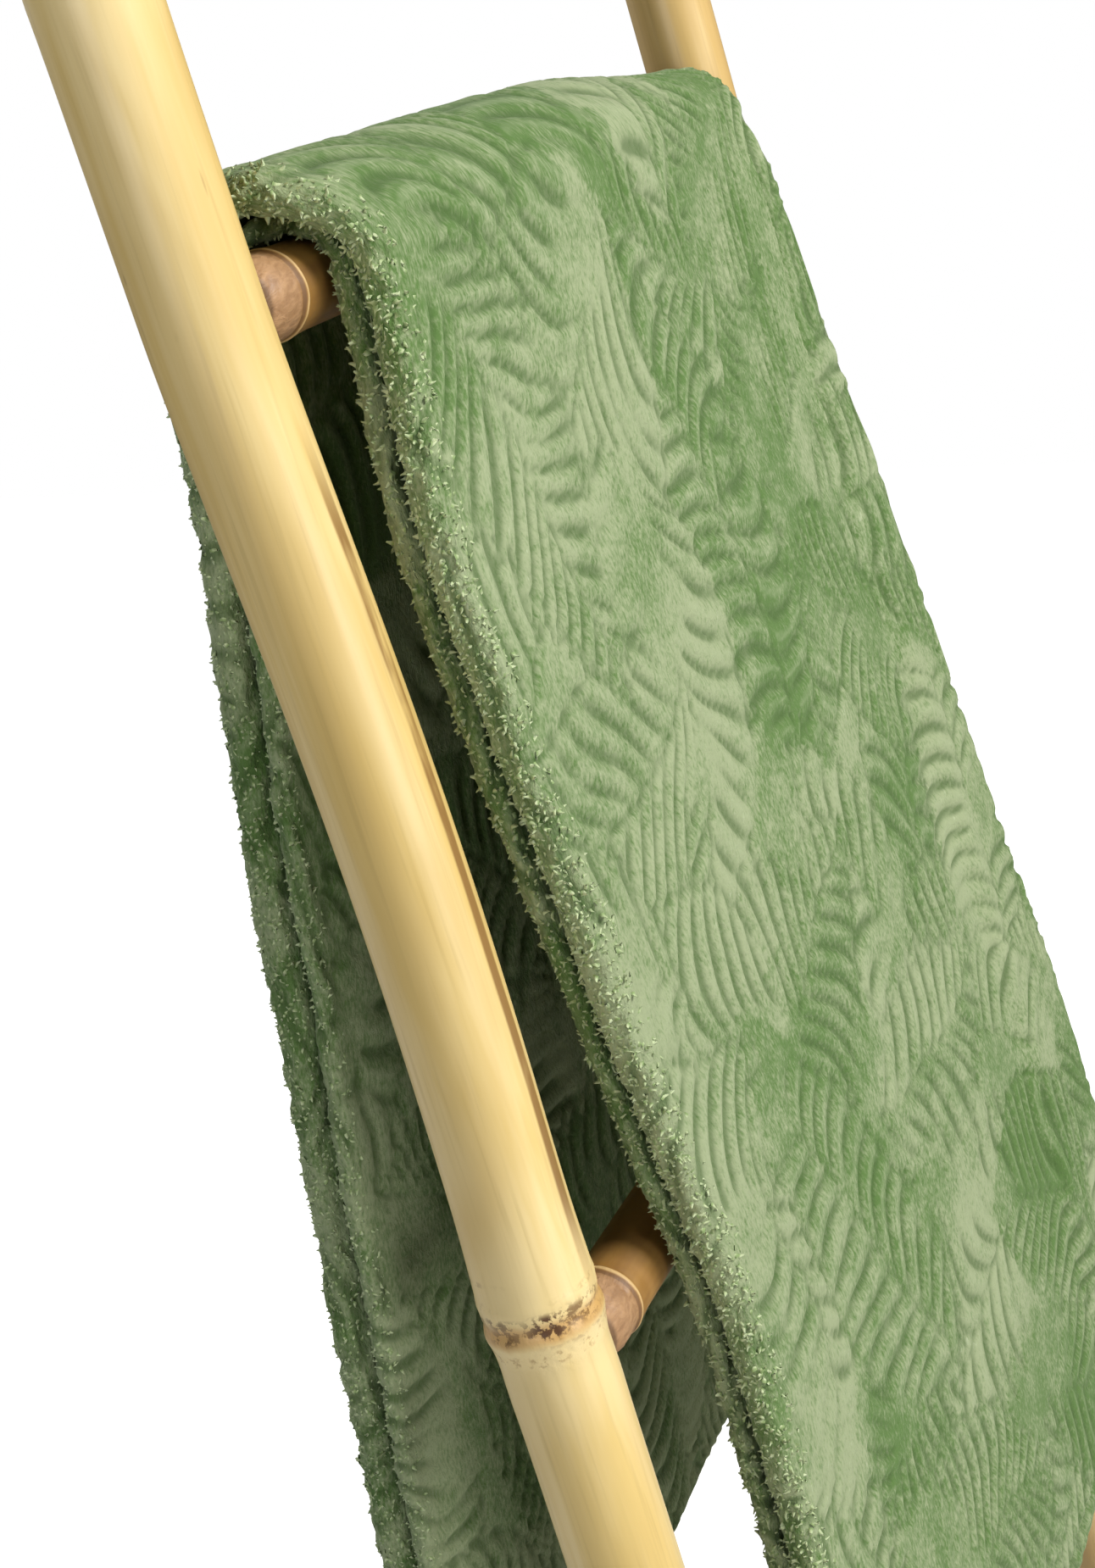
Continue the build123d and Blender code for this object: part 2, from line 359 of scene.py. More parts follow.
def noise(tree, vector, scale, detail=2.0, rough=0.5, distort=0.0, seed=0.0):
    """A noise from 0 to 1 on a vector socket. Each size is a number or a socket."""
    made = tree.nodes.new("ShaderNodeTexNoise")
    made.noise_dimensions = "4D"
    sizes = {"W": seed, "Scale": scale, "Detail": detail, "Roughness": rough, "Distortion": distort}
    for key, value in {"Vector": vector, **sizes}.items():
        feed(tree, value, made.inputs[key])
    return made.outputs["Fac"]


def stretched(tree, vector, scale, turn=(0, 0, 0)):
    """A vector turned, then scaled along its axes."""
    turned = tree.nodes.new("ShaderNodeMapping")
    turned.inputs["Rotation"].default_value = turn
    scaled = tree.nodes.new("ShaderNodeMapping")
    scaled.inputs["Scale"].default_value = scale
    tree.links.new(vector, turned.inputs["Vector"])
    tree.links.new(turned.outputs[0], scaled.inputs["Vector"])
    return scaled.outputs[0]


def attribute(tree, name):
    """The float that a mesh carries under name."""
    made = tree.nodes.new("ShaderNodeAttribute")
    made.attribute_name = name
    return made.outputs["Fac"]


def bump(tree, height, distance, strength, under=None):
    """A bumped normal from a height socket, on top of another bump if given."""
    made = tree.nodes.new("ShaderNodeBump")
    made.inputs["Strength"].default_value = strength
    made.inputs["Distance"].default_value = distance
    tree.links.new(height, made.inputs["Height"])
    if under is not None:
        tree.links.new(under, made.inputs["Normal"])
    return made.outputs[0]


def new_group(name, colours, numbers, vectors, made):
    """An empty shader group with its named inputs, and its outputs as (name, kind)."""
    tree = bpy.data.node_groups.new(name, "ShaderNodeTree")
    for kind, keys in (("Color", colours), ("Float", numbers), ("Vector", vectors)):
        for key in keys:
            tree.interface.new_socket(key, in_out="INPUT", socket_type="NodeSocket" + kind)
    for key, kind in made:
        tree.interface.new_socket(key, in_out="OUTPUT", socket_type="NodeSocket" + kind)
    return tree, tree.nodes.new("NodeGroupInput").outputs, tree.nodes.new("NodeGroupOutput").inputs


def placed_group(tree, group, values):
    """A group placed in a material's tree. values are colours, vectors, numbers or sockets by name."""
    placed = tree.nodes.new("ShaderNodeGroup")
    placed.node_tree = group
    for key, value in values.items():
        feed(tree, value, placed.inputs[key])
    return placed.outputs


def node_distance_group():
    """How far a point is past the nearest node of its culm, in millimetres, with a ragged edge."""
    numbers = ("Scale", "Detail", "Ragged")
    tree, given, made = new_group("node_distance", (), numbers, (), [("Distance", "Float")])
    place = tree.nodes.new("ShaderNodeTexCoord").outputs["Object"]
    waver = maths(tree, "SUBTRACT", noise(tree, place, given["Scale"], given["Detail"]), 0.5)
    past = maths(tree, "WRAP", attribute(tree, "node_gap"), 60.0, -60.0)
    ragged = maths(tree, "ADD", past, maths(tree, "MULTIPLY", waver, given["Ragged"]))
    tree.links.new(ragged, made["Distance"])
    return tree


def dimmed(tree, colour, share):
    """A colour socket at a share of its brightness."""
    return mix(tree, 1.0, colour, (share, share, share), "MULTIPLY")


def culm_skin_group(turn):
    """The finish that both rails share, as a node group: long pale and straw streaks, amber and dark
    scars at the nodes, small specks, and a brown scuff along one side. turn is the culms' lean."""
    numbers = ("Node Distance", "Seed", "Scuff", "Scuff Side", "Scuff Height", "Scuff Reach")
    finish = [("Color", "Color"), ("Roughness", "Float"), ("Normal", "Vector")]
    tree, given, made = new_group("culm_skin", ("Pale", "Straw", "Shade", "Amber"), numbers, (), finish)
    pale, straw, shade, amber = (given[key] for key in ("Pale", "Straw", "Shade", "Amber"))
    gap = given["Node Distance"]

    def seed(step):
        return maths(tree, "ADD", given["Seed"], float(step))

    place = tree.nodes.new("ShaderNodeTexCoord").outputs["Object"]
    long_grain = stretched(tree, place, (1, 1, 0.03), turn)
    short_grain = stretched(tree, place, (1, 1, 0.2), turn)
    broad = noise(tree, stretched(tree, place, (1, 1, 0.08), turn), 42, 4, 0.6, 0.5, seed(0))
    broad = ramp(tree, broad, 0.38, 0.60)
    cloud = ramp(tree, noise(tree, short_grain, 16, 3, 0.6, 0.6, seed(3)), 0.38, 0.64)
    colour = mix(tree, broad, pale, straw)
    colour = mix(tree, maths(tree, "MULTIPLY", cloud, 0.7), colour, shade)
    thread = ramp(tree, noise(tree, long_grain, 420, 2, seed=seed(5)), 0.5, 0.8, 0.0, 0.35)
    colour = mix(tree, thread, colour, dimmed(tree, shade, 0.72))
    line = noise(tree, stretched(tree, place, (1, 1, 0.012), turn), 150, 1, seed=seed(8))
    breaks = ramp(tree, noise(tree, short_grain, 40, 2, seed=seed(7)), 0.48, 0.6)
    broken_line = maths(tree, "MULTIPLY", ramp(tree, line, 0.64, 0.72), breaks)
    colour = mix(tree, maths(tree, "MULTIPLY", broken_line, 0.6), colour, dimmed(tree, amber, 0.42))
    scratch = noise(tree, stretched(tree, place, (1, 1, 0.09), turn), 210, 2, 0.5, 0.3, seed(12))
    scratch = maths(tree, "MULTIPLY", ramp(tree, scratch, 0.68, 0.74), ramp(tree, cloud, 0.3, 0.9))
    colour = mix(tree, maths(tree, "MULTIPLY", scratch, 0.65), colour, dimmed(tree, amber, 0.5))

    freckle = tree.nodes.new("ShaderNodeTexVoronoi")
    freckle.inputs["Scale"].default_value = 120
    tree.links.new(stretched(tree, place, (1, 1, 0.45), turn), freckle.inputs["Vector"])
    speck = ramp(tree, freckle.outputs["Distance"], 0.05, 0.12, 1.0, 0.0)
    thin_out = ramp(tree, noise(tree, short_grain, 26, 1, seed=seed(9)), 0.58, 0.68)
    colour = mix(tree, maths(tree, "MULTIPLY", maths(tree, "MULTIPLY", speck, thin_out), 0.6),
                 colour, dimmed(tree, amber, 0.25))

    uv = tree.nodes.new("ShaderNodeSeparateXYZ")
    tree.links.new(tree.nodes.new("ShaderNodeTexCoord").outputs["UV"], uv.inputs[0])
    wobble = maths(tree, "SUBTRACT", noise(tree, short_grain, 30, 3), 0.5)
    wobble = maths(tree, "MULTIPLY", wobble, 0.06)
    off_side = maths(tree, "SUBTRACT", maths(tree, "ADD", uv.outputs[0], wobble), given["Scuff Side"])
    off_height = maths(tree, "ABSOLUTE", maths(tree, "SUBTRACT", uv.outputs[1], given["Scuff Height"]))
    worn = maths(tree, "MULTIPLY", band(tree, off_side, 0.0, 0.016, 0.014), given["Scuff"])
    within = ramp(tree, maths(tree, "SUBTRACT", off_height, given["Scuff Reach"]), 0.0, 0.05, 1.0, 0.0)
    worn = maths(tree, "MULTIPLY", worn, within)
    worn = maths(tree, "MULTIPLY", worn, ramp(tree, noise(tree, short_grain, 60, 4), 0.36, 0.5))
    colour = mix(tree, worn, colour, dimmed(tree, amber, 0.45))

    around = ramp(tree, noise(tree, place, 38, 2, seed=seed(2)), 0.4, 0.6)
    colour = mix(tree, maths(tree, "MULTIPLY", band(tree, gap, 0, 20, 30), 0.35), colour, pale)
    fine_spots = noise(tree, place, 300, 4, 0.65, seed=seed(4))
    crumbs = ramp(tree, fine_spots, 0.46, 0.58)
    ring = maths(tree, "MULTIPLY", around, crumbs)
    for height, strength in ((22, 0.45), (13, 0.65)):
        broken = maths(tree, "MULTIPLY", band(tree, gap, height, 0.5, 1.1), ring)
        colour = mix(tree, maths(tree, "MULTIPLY", broken, strength), colour, dimmed(tree, amber, 0.45))
    colour = mix(tree, maths(tree, "MULTIPLY", band(tree, gap, 2.0, 1.6, 4.5), 0.65), colour, amber)
    scab = ramp(tree, noise(tree, place, 75, 2, seed=seed(6)), 0.47, 0.6)
    scab = maths(tree, "MULTIPLY", scab, crumbs)
    stain = maths(tree, "MULTIPLY", band(tree, gap, 5.0, 2.0, 4.0), scab)
    colour = mix(tree, maths(tree, "MULTIPLY", stain, 0.85), colour, dimmed(tree, amber, 0.33))
    patch = ramp(tree, noise(tree, place, 30, 1, seed=seed(6)), 0.42, 0.54)
    spots = maths(tree, "MULTIPLY", ramp(tree, fine_spots, 0.47, 0.54), patch)
    mould = maths(tree, "MULTIPLY", band(tree, gap, 4.5, 2.8, 3.2), spots)
    colour = mix(tree, mould, colour, (0.095, 0.040, 0.012))
    edge = maths(tree, "MULTIPLY", band(tree, gap, -3.2, 0.2, 1.2), ring)
    colour = mix(tree, maths(tree, "MULTIPLY", edge, 0.6), colour, dimmed(tree, amber, 0.45))
    colour = mix(tree, maths(tree, "MULTIPLY", band(tree, gap, -7, 2.5, 3.0), 0.55), colour, pale)
    dots = ramp(tree, fine_spots, 0.5, 0.62)
    dots = maths(tree, "MULTIPLY", band(tree, gap, -7.5, 1.8, 1.5), dots)
    colour = mix(tree, maths(tree, "MULTIPLY", dots, 0.5), colour, dimmed(tree, amber, 0.6))

    fibres = noise(tree, stretched(tree, place, (1, 1, 1), turn), 700, 2)
    cut = mix(tree, fibres, dimmed(tree, straw, 0.75), dimmed(tree, amber, 0.45))
    colour = mix(tree, attribute(tree, "cut_end"), colour, cut)
    tree.links.new(colour, made["Color"])
    gloss = ramp(tree, noise(tree, short_grain, 35, 3, seed=seed(1)), 0.3, 0.7, 0.34, 0.5)
    dull_end = maths(tree, "MULTIPLY", attribute(tree, "cut_end"), 0.35)
    tree.links.new(maths(tree, "ADD", gloss, dull_end), made["Roughness"])
    streaks = bump(tree, noise(tree, long_grain, 300, 3, seed=seed(0)), 0.15 * MM, 0.35)
    ridges = maths(tree, "MULTIPLY", band(tree, gap, -3, 8, 6), noise(tree, place, 330, 3))
    tree.links.new(bump(tree, ridges, 0.5 * MM, 0.8, streaks), made["Normal"])
    return tree


def culm_material(name, skin, values):
    """Polished bamboo, from the skin group and its values by name."""
    material, tree, shader = new_material(name)
    distance = placed_group(tree, node_distance, {"Scale": 90.0, "Detail": 3.0, "Ragged": 5.0})
    finish = placed_group(tree, skin, {"Node Distance": distance["Distance"], **values})
    for key, socket in (("Color", "Base Color"), ("Roughness", "Roughness"), ("Normal", "Normal")):
        tree.links.new(finish[key], shader.inputs[socket])
    shader.inputs["Coat Weight"].default_value = 0.28
    shader.inputs["Coat Roughness"].default_value = 0.25
    return material


node_distance = node_distance_group()
culm_skin = culm_skin_group((lean, 0, 0))
left_skin = culm_material("straw_culm", culm_skin, {
    "Pale": (0.82, 0.65, 0.32), "Straw": (0.71, 0.52, 0.185), "Shade": (0.60, 0.41, 0.125),
    "Amber": (0.50, 0.24, 0.05), "Seed": 1.0,
    "Scuff": 0.9, "Scuff Side": 0.755, "Scuff Height": 1.455, "Scuff Reach": 0.115,
})
right_skin = culm_material("honey_culm", culm_skin, {
    "Pale": (0.82, 0.64, 0.32), "Straw": (0.69, 0.50, 0.19), "Shade": (0.52, 0.33, 0.11),
    "Amber": (0.48, 0.22, 0.06), "Seed": 7.0,
    "Scuff": 0.5, "Scuff Side": 0.12, "Scuff Height": 0.7, "Scuff Reach": 0.16,
})
skins = (("rail_left", 3, left_skin, "straw_culm"), ("rail_right", 8, right_skin, "honey_culm"))
for name, seed, skin, slot in skins:
    culm = rail(name, seed)
    culm.data.materials.append(skin)
    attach(culm, "ladder")
    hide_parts(name)


# The five rungs: thinner culms, shaved to a neck and a tenon that is glued into each rail. Their
# left ends were cut just past a root node, so that end is ringed and wrinkled by old rootlets.
RUNG_RADIUS = 14.5 * MM
NECK_RADIUS = 12.3 * MM
NECK_LENGTH = 9 * MM
HIDDEN_IN_RAIL = 6 * MM
RUNG_NODES = ((26, 318), (121, 396), (24, 262), (21, 345), (20, 331))
RUNG_ROUND = 56


def rung(number):
    """One rung from inside the left rail to inside the right rail, lying along X."""
    low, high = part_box(f"rung_{number}")
    middle = (low + high) / 2
    faces_at = (left_x + RAILS["rail_left"][1], right_x - RAILS["rail_right"][1])
    start, end = faces_at[0] - HIDDEN_IN_RAIL, faces_at[1] + HIDDEN_IN_RAIL
    nodes = [faces_at[0] + n * MM for n in RUNG_NODES[number - 1]]
    x = levels(start, end, nodes + list(faces_at), 8 * MM, 0.9 * MM, 11 * MM)[:, None]
    angle = np.linspace(0, 2 * pi, RUNG_ROUND, endpoint=False)[None]
    radius = RUNG_RADIUS + 0.22 * MM * unevenness(angle, 3 * x, number)
    from_end = np.minimum(x - faces_at[0], faces_at[1] - x)
    neck = np.clip(1 - from_end / NECK_LENGTH, 0, 1)
    radius = radius - (RUNG_RADIUS - NECK_RADIUS) * neck ** 1.3
    from_nodes = x[..., None] - np.array(nodes)
    nearest = np.abs(from_nodes).argmin(-1)[..., None]
    gap = np.take_along_axis(from_nodes, nearest, -1)[..., 0]
    ridge = np.exp(-((gap / (1.1 * MM)) ** 2)) + 0.55 * np.exp(-(((gap - 4 * MM) / (4 * MM)) ** 2))
    tilt = 1.6 * MM * np.cos(angle + number)
    groove = np.exp(-(((gap + tilt + 2.6 * MM) / (0.9 * MM)) ** 2))
    radius = radius + 0.75 * MM * ridge - 0.35 * MM * groove
    root = np.clip(-gap / (4 * MM), 0, 1) * (gap < 0) * (np.abs(gap) < 24 * MM)
    wrinkle = np.sin(17 * angle + 900 * x + 2 * np.sin(5 * angle)) * np.sin(11 * angle - 700 * x)
    radius = radius + 0.18 * MM * root * wrinkle
    y, z = middle.y + radius * np.cos(angle), middle.z + radius * np.sin(angle)
    grid = np.stack([x + 0 * angle, y, z], -1)
    uv = np.stack([np.broadcast_to(angle / (2 * pi), radius.shape), np.broadcast_to(x, radius.shape)], -1)
    shape = radius.shape
    values = {"node_gap": np.broadcast_to(climb(x, nodes), shape), "root": np.broadcast_to(root, shape),
              "neck": np.broadcast_to(neck, shape)}
    piece = capped_tube(f"rung_{number}_culm", grid, uv, values)
    piece.data.flip_normals()
    return piece


def fibre_grain_group():
    """Noise drawn out along fibres or yarn, for the rungs and for everything sewn or woven."""
    numbers = ("Seed", "Scale", "Detail", "Roughness", "Distortion")
    vectors = ("Vector", "Turn", "Stretch")
    tree, given, made = new_group("fibre_grain", (), numbers, vectors, [("Value", "Float")])
    turned = tree.nodes.new("ShaderNodeMapping")
    drawn = tree.nodes.new("ShaderNodeMapping")
    tree.links.new(given["Vector"], turned.inputs["Vector"])
    tree.links.new(given["Turn"], turned.inputs["Rotation"])
    tree.links.new(turned.outputs[0], drawn.inputs["Vector"])
    tree.links.new(given["Stretch"], drawn.inputs["Scale"])
    sizes = [given[key] for key in ("Scale", "Detail", "Roughness", "Distortion", "Seed")]
    tree.links.new(noise(tree, drawn.outputs[0], *sizes), made["Value"])
    return tree


def grain(tree, vector, stretch, scale, detail=2.0, rough=0.5, distort=0.0, seed=0.0, turn=(0, 0, 0)):
    """The fibre_grain group placed in a material, with its own values."""
    return placed_group(tree, fibre_grain, {
        "Vector": vector, "Turn": turn, "Stretch": stretch, "Scale": float(scale), "Detail": float(detail),
        "Roughness": rough, "Distortion": distort, "Seed": seed,
    })["Value"]


def rung_material():
    """Dry unpolished culm: orange brown with a pale ring at each node, wrinkled and greyer between
    the root node and the neck, and darker where it goes into the rail."""
    material, tree, shader = new_material("rung_culm")
    place = tree.nodes.new("ShaderNodeTexCoord").outputs["Object"]
    streak = ramp(tree, grain(tree, place, (0.04, 1, 1), 90, 3), 0.35, 0.68)
    colour = mix(tree, streak, (0.31, 0.160, 0.034), (0.19, 0.086, 0.019))
    cloud = ramp(tree, noise(tree, place, 22, 3), 0.4, 0.7)
    colour = mix(tree, maths(tree, "MULTIPLY", cloud, 0.5), colour, (0.56, 0.34, 0.11))
    root = attribute(tree, "root")
    rootlets = grain(tree, place, (0.5, 1, 1), 330, 4, 0.6, 0.6, turn=(0.0, 0.3, 0.0))
    old_roots = mix(tree, ramp(tree, rootlets, 0.3, 0.7), (0.30, 0.165, 0.08), (0.47, 0.28, 0.145))
    colour = mix(tree, maths(tree, "MULTIPLY", root, 0.85), colour, old_roots)
    gap = placed_group(tree, node_distance, {"Scale": 60.0, "Detail": 2.0, "Ragged": 2.5})["Distance"]
    pale_ring = maths(tree, "MULTIPLY", band(tree, gap, 0.3, 0.5, 0.6), 0.85)
    colour = mix(tree, pale_ring, colour, (0.66, 0.45, 0.20))
    dark_ring = maths(tree, "MULTIPLY", band(tree, gap, -1.6, 0.4, 0.6), 0.7)
    colour = mix(tree, dark_ring, colour, (0.15, 0.07, 0.025))
    neck = ramp(tree, attribute(tree, "neck"), 0.7, 1.0, 0.0, 0.8)
    colour = mix(tree, neck, colour, (0.10, 0.05, 0.02))
    tree.links.new(colour, shader.inputs["Base Color"])
    tree.links.new(ramp(tree, noise(tree, place, 120, 3), 0.3, 0.7, 0.5, 0.72), shader.inputs["Roughness"])
    fine = bump(tree, grain(tree, place, (0.04, 1, 1), 320, 3), 0.2 * MM, 0.5)
    rough = maths(tree, "MULTIPLY", root, rootlets)
    tree.links.new(bump(tree, rough, 0.8 * MM, 0.9, fine), shader.inputs["Normal"])
    return material


fibre_grain = fibre_grain_group()
dry_culm = rung_material()
for number in range(1, 6):
    piece = rung(number)
    piece.data.materials.append(dry_culm)
    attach(piece, "ladder")
    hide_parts(f"rung_{number}")


# The pegs: split bamboo dowels driven in from behind through rail and tenon, cut flush. Only their
# end grain shows, a pale round with the dark dots of its fibre bundles and a line of glue.
peg_material, peg_tree, peg_shader = new_material("peg_bamboo")
peg_place = peg_tree.nodes.new("ShaderNodeTexCoord").outputs["Object"]
bundle = peg_tree.nodes.new("ShaderNodeTexVoronoi")
bundle.inputs["Scale"].default_value = 1100
peg_tree.links.new(peg_place, bundle.inputs["Vector"])
dots = ramp(peg_tree, bundle.outputs["Distance"], 0.2, 0.45, 1.0, 0.0)
peg_colour = mix(peg_tree, noise(peg_tree, peg_place, 400, 2), (0.50, 0.33, 0.15), (0.62, 0.44, 0.22))
peg_colour = mix(peg_tree, maths(peg_tree, "MULTIPLY", dots, 0.7), peg_colour, (0.16, 0.08, 0.03))
peg_tree.links.new(peg_colour, peg_shader.inputs["Base Color"])
peg_shader.inputs["Roughness"].default_value = 0.75
peg_tree.links.new(bump(peg_tree, dots, 0.2 * MM, 0.4), peg_shader.inputs["Normal"])
for index in range(len(frame["nodes"]["rung_pins"].material_slots)):
    frame["nodes"]["rung_pins"].material_slots[index].material = peg_material


# The throw: one plush cloth, 2.0 m wide, folded lengthwise into four layers and laid over the top
# rung. Its pile is pressed into a pattern of big leaves. The half in front of the rung leans on the
# rails, and the half behind hangs plumb. They meet along the crest, where each dips under the other.
SEAT = RUNG_RADIUS + 1.5 * MM
STACK = 25.5 * MM
ROUND_FRONT = pi / 2 - lean
FRONT_DROP, BACK_DROP = 713 * MM, 672 * MM
TAIL = 0.16
LAYERS_AT_FOLD = ((1.0, 0.68), (0.66, 0.35), (0.345, 0.18), (0.17, 0.0))
LAYERS_INSIDE = ((1.0, 0.765), (0.735, 0.515), (0.485, 0.265), (0.235, 0.0))
HEM_ROUND, HEM_TURNED = 6 * MM, 11 * MM
FOLDS_ACROSS = (0.47, 0.9575, 1.4375)        # where the three folds are across the cloth
PANELS_ACROSS = (0.0, 0.455, 0.485, 0.95, 0.965, 1.43, 1.445, 1.90)     # and the flats between
CREST_ALONG = 0.74                           # where the rung is along the cloth

# In millimetres down each drop: the left fold, the right edge, and how thick the right edge is.
FRONT_EDGES = (
    [(0, 52), (26, 47), (75, 34), (115, 31), (165, 34), (230, 41), (300, 51), (342, 58),
     (378, 65), (420, 68), (476, 66), (511, 62), (600, 60), (713, 64)],
    [(0, 455), (100, 470), (200, 490), (379, 505), (468, 520), (561, 530), (713, 539)],
    [(0, 12), (100, 13.5), (200, 16.5), (379, 24), (468, 27), (561, 28), (713, 27)],
)
BACK_EDGES = (
    [(0, 29), (60, 33), (200, 35), (380, 33), (520, 37), (672, 35)],
    [(0, 446), (150, 444), (350, 447), (520, 440), (672, 444)],
    [(0, 12), (120, 16), (300, 23), (672, 25)],
)


def along(table, place):
    """A smooth value from a table of place and millimetres, in metres."""
    at, value = np.array(table, float).T
    fine = np.linspace(at[0], at[-1], 400)
    soft = np.interp(fine, at, value)
    for _ in range(3):
        soft = np.convolve(np.pad(soft, 8, mode="edge"), np.ones(17) / 17, "valid")
    return np.interp(place / MM, fine, soft) * MM


def step(value, low, high):
    """0 below low, 1 above high, smooth between."""
    share = np.clip((value - low) / (high - low), 0, 1)
    return share * share * (3 - 2 * share)


def wander(place, seed, pitch):
    """A slow sway from -1 to 1 along an edge."""
    turns = 2 * pi * place / pitch
    slow, quick = 0.6 * np.sin(2.3 * turns + 2 * seed), 0.4 * np.sin(4.1 * turns + 5 * seed)
    return (np.sin(turns + seed) + slow + quick) / 2


def leaf_pattern(across_cloth, along_cloth):
    """The pressed pattern at points of the cloth: how high the pile stands there, from 0 in a
    groove to 1, and which way it was brushed, from -1 to 1. Big ribbed leaves overlap at random."""
    random = np.random.default_rng(41)
    pulled = 0.0035 * np.sin(52 * along_cloth + 2.0 * np.sin(38 * across_cloth))
    slid = 0.0035 * np.sin(47 * across_cloth + 2.2 * np.sin(41 * along_cloth))
    across_cloth, along_cloth = across_cloth + pulled, along_cloth + slid
    high = np.full(across_cloth.shape, 0.9)
    brushed = np.zeros(across_cloth.shape)
    spots = [(i * 0.104, j * 0.110) for i in range(-1, 21) for j in range(-1, 15)]
    for spot in random.permutation(np.array(spots)):
        middle = spot + random.uniform(-0.035, 0.035, 2)
        heading = random.uniform(0, 2 * pi)
        length, half = random.uniform(0.16, 0.25), random.uniform(0.046, 0.074)
        pitch = random.uniform(0.0125, 0.0185)
        rake, curl, tone = random.uniform(0.5, 1.3), random.uniform(4, 14), random.uniform(-1, 1)
        lobed, sway = random.uniform() < 0.45, random.uniform(-3, 3)
        near = (np.abs(across_cloth - middle[0]) < length) & (np.abs(along_cloth - middle[1]) < length)
        if not near.any():
            continue
        u, v = across_cloth[near] - middle[0], along_cloth[near] - middle[1]
        stem = u * cos(heading) + v * sin(heading) + length / 2
        side = -u * sin(heading) + v * cos(heading) + sway * (stem - length / 2) ** 2
        share = np.clip(stem / length, 0, 1)
        outline = half * (np.sin(pi * share ** 0.75) ** 0.7 + 1e-6)
        rib = (stem - rake * np.abs(side) + curl * side ** 2 - 0.2 * np.sign(side) * pitch) / pitch
        if lobed:
            outline = outline * (0.86 + 0.14 * np.cos(2 * pi * rib))
        inside = outline - np.abs(side)
        covered = (inside > -0.003) & (stem > -0.003) & (stem < length + 0.003)
        slant = pitch / np.sqrt(1 + rake ** 2)
        to_rib = (np.abs(rib - np.round(rib))) * slant
        groove = np.exp(-((to_rib / 0.0016) ** 2)) * step(inside, 0, 0.012) * step(np.abs(side), 0.0, 0.012)
        swell = 0.22 * np.cos(2 * pi * rib)
        midrib = np.exp(-((side / 0.0016) ** 2))
        rim = np.exp(-(((inside + 0.0006) / 0.0018) ** 2))
        fresh = 0.76 - swell - 0.6 * np.maximum(np.maximum(groove, 0.75 * midrib), 0.8 * rim)
        high[near] = np.where(covered, fresh, high[near])
        brushed[near] = np.where(covered, tone + 0.25 * np.sign(side), brushed[near])
    worn = np.sin(33 * across_cloth + 3 * np.sin(19 * along_cloth)) * np.sin(27 * along_cloth + 2.0)
    small = np.sin(71 * across_cloth + 4.0 * np.sin(23 * along_cloth)) * np.sin(64 * along_cloth)
    worn = worn + 0.6 * small
    high = high + (0.88 - high) * (0.05 + 0.7 * step(worn, 0.1, 0.9))
    return np.clip(high, 0, 1), np.clip(brushed, -1, 1)


def zip_strip(first, first_at, second, second_at):
    """Triangles between two rows of points that run side by side at their own spacings."""
    faces, i, j = [], 0, 0
    while i < len(first) - 1 or j < len(second) - 1:
        take_first = j == len(second) - 1 or (i < len(first) - 1 and first_at[i + 1] <= second_at[j + 1])
        if take_first:
            faces.append((first[i], first[i + 1], second[j]))
            i += 1
        else:
            faces.append((first[i], second[j + 1], second[j]))
            j += 1
    return faces


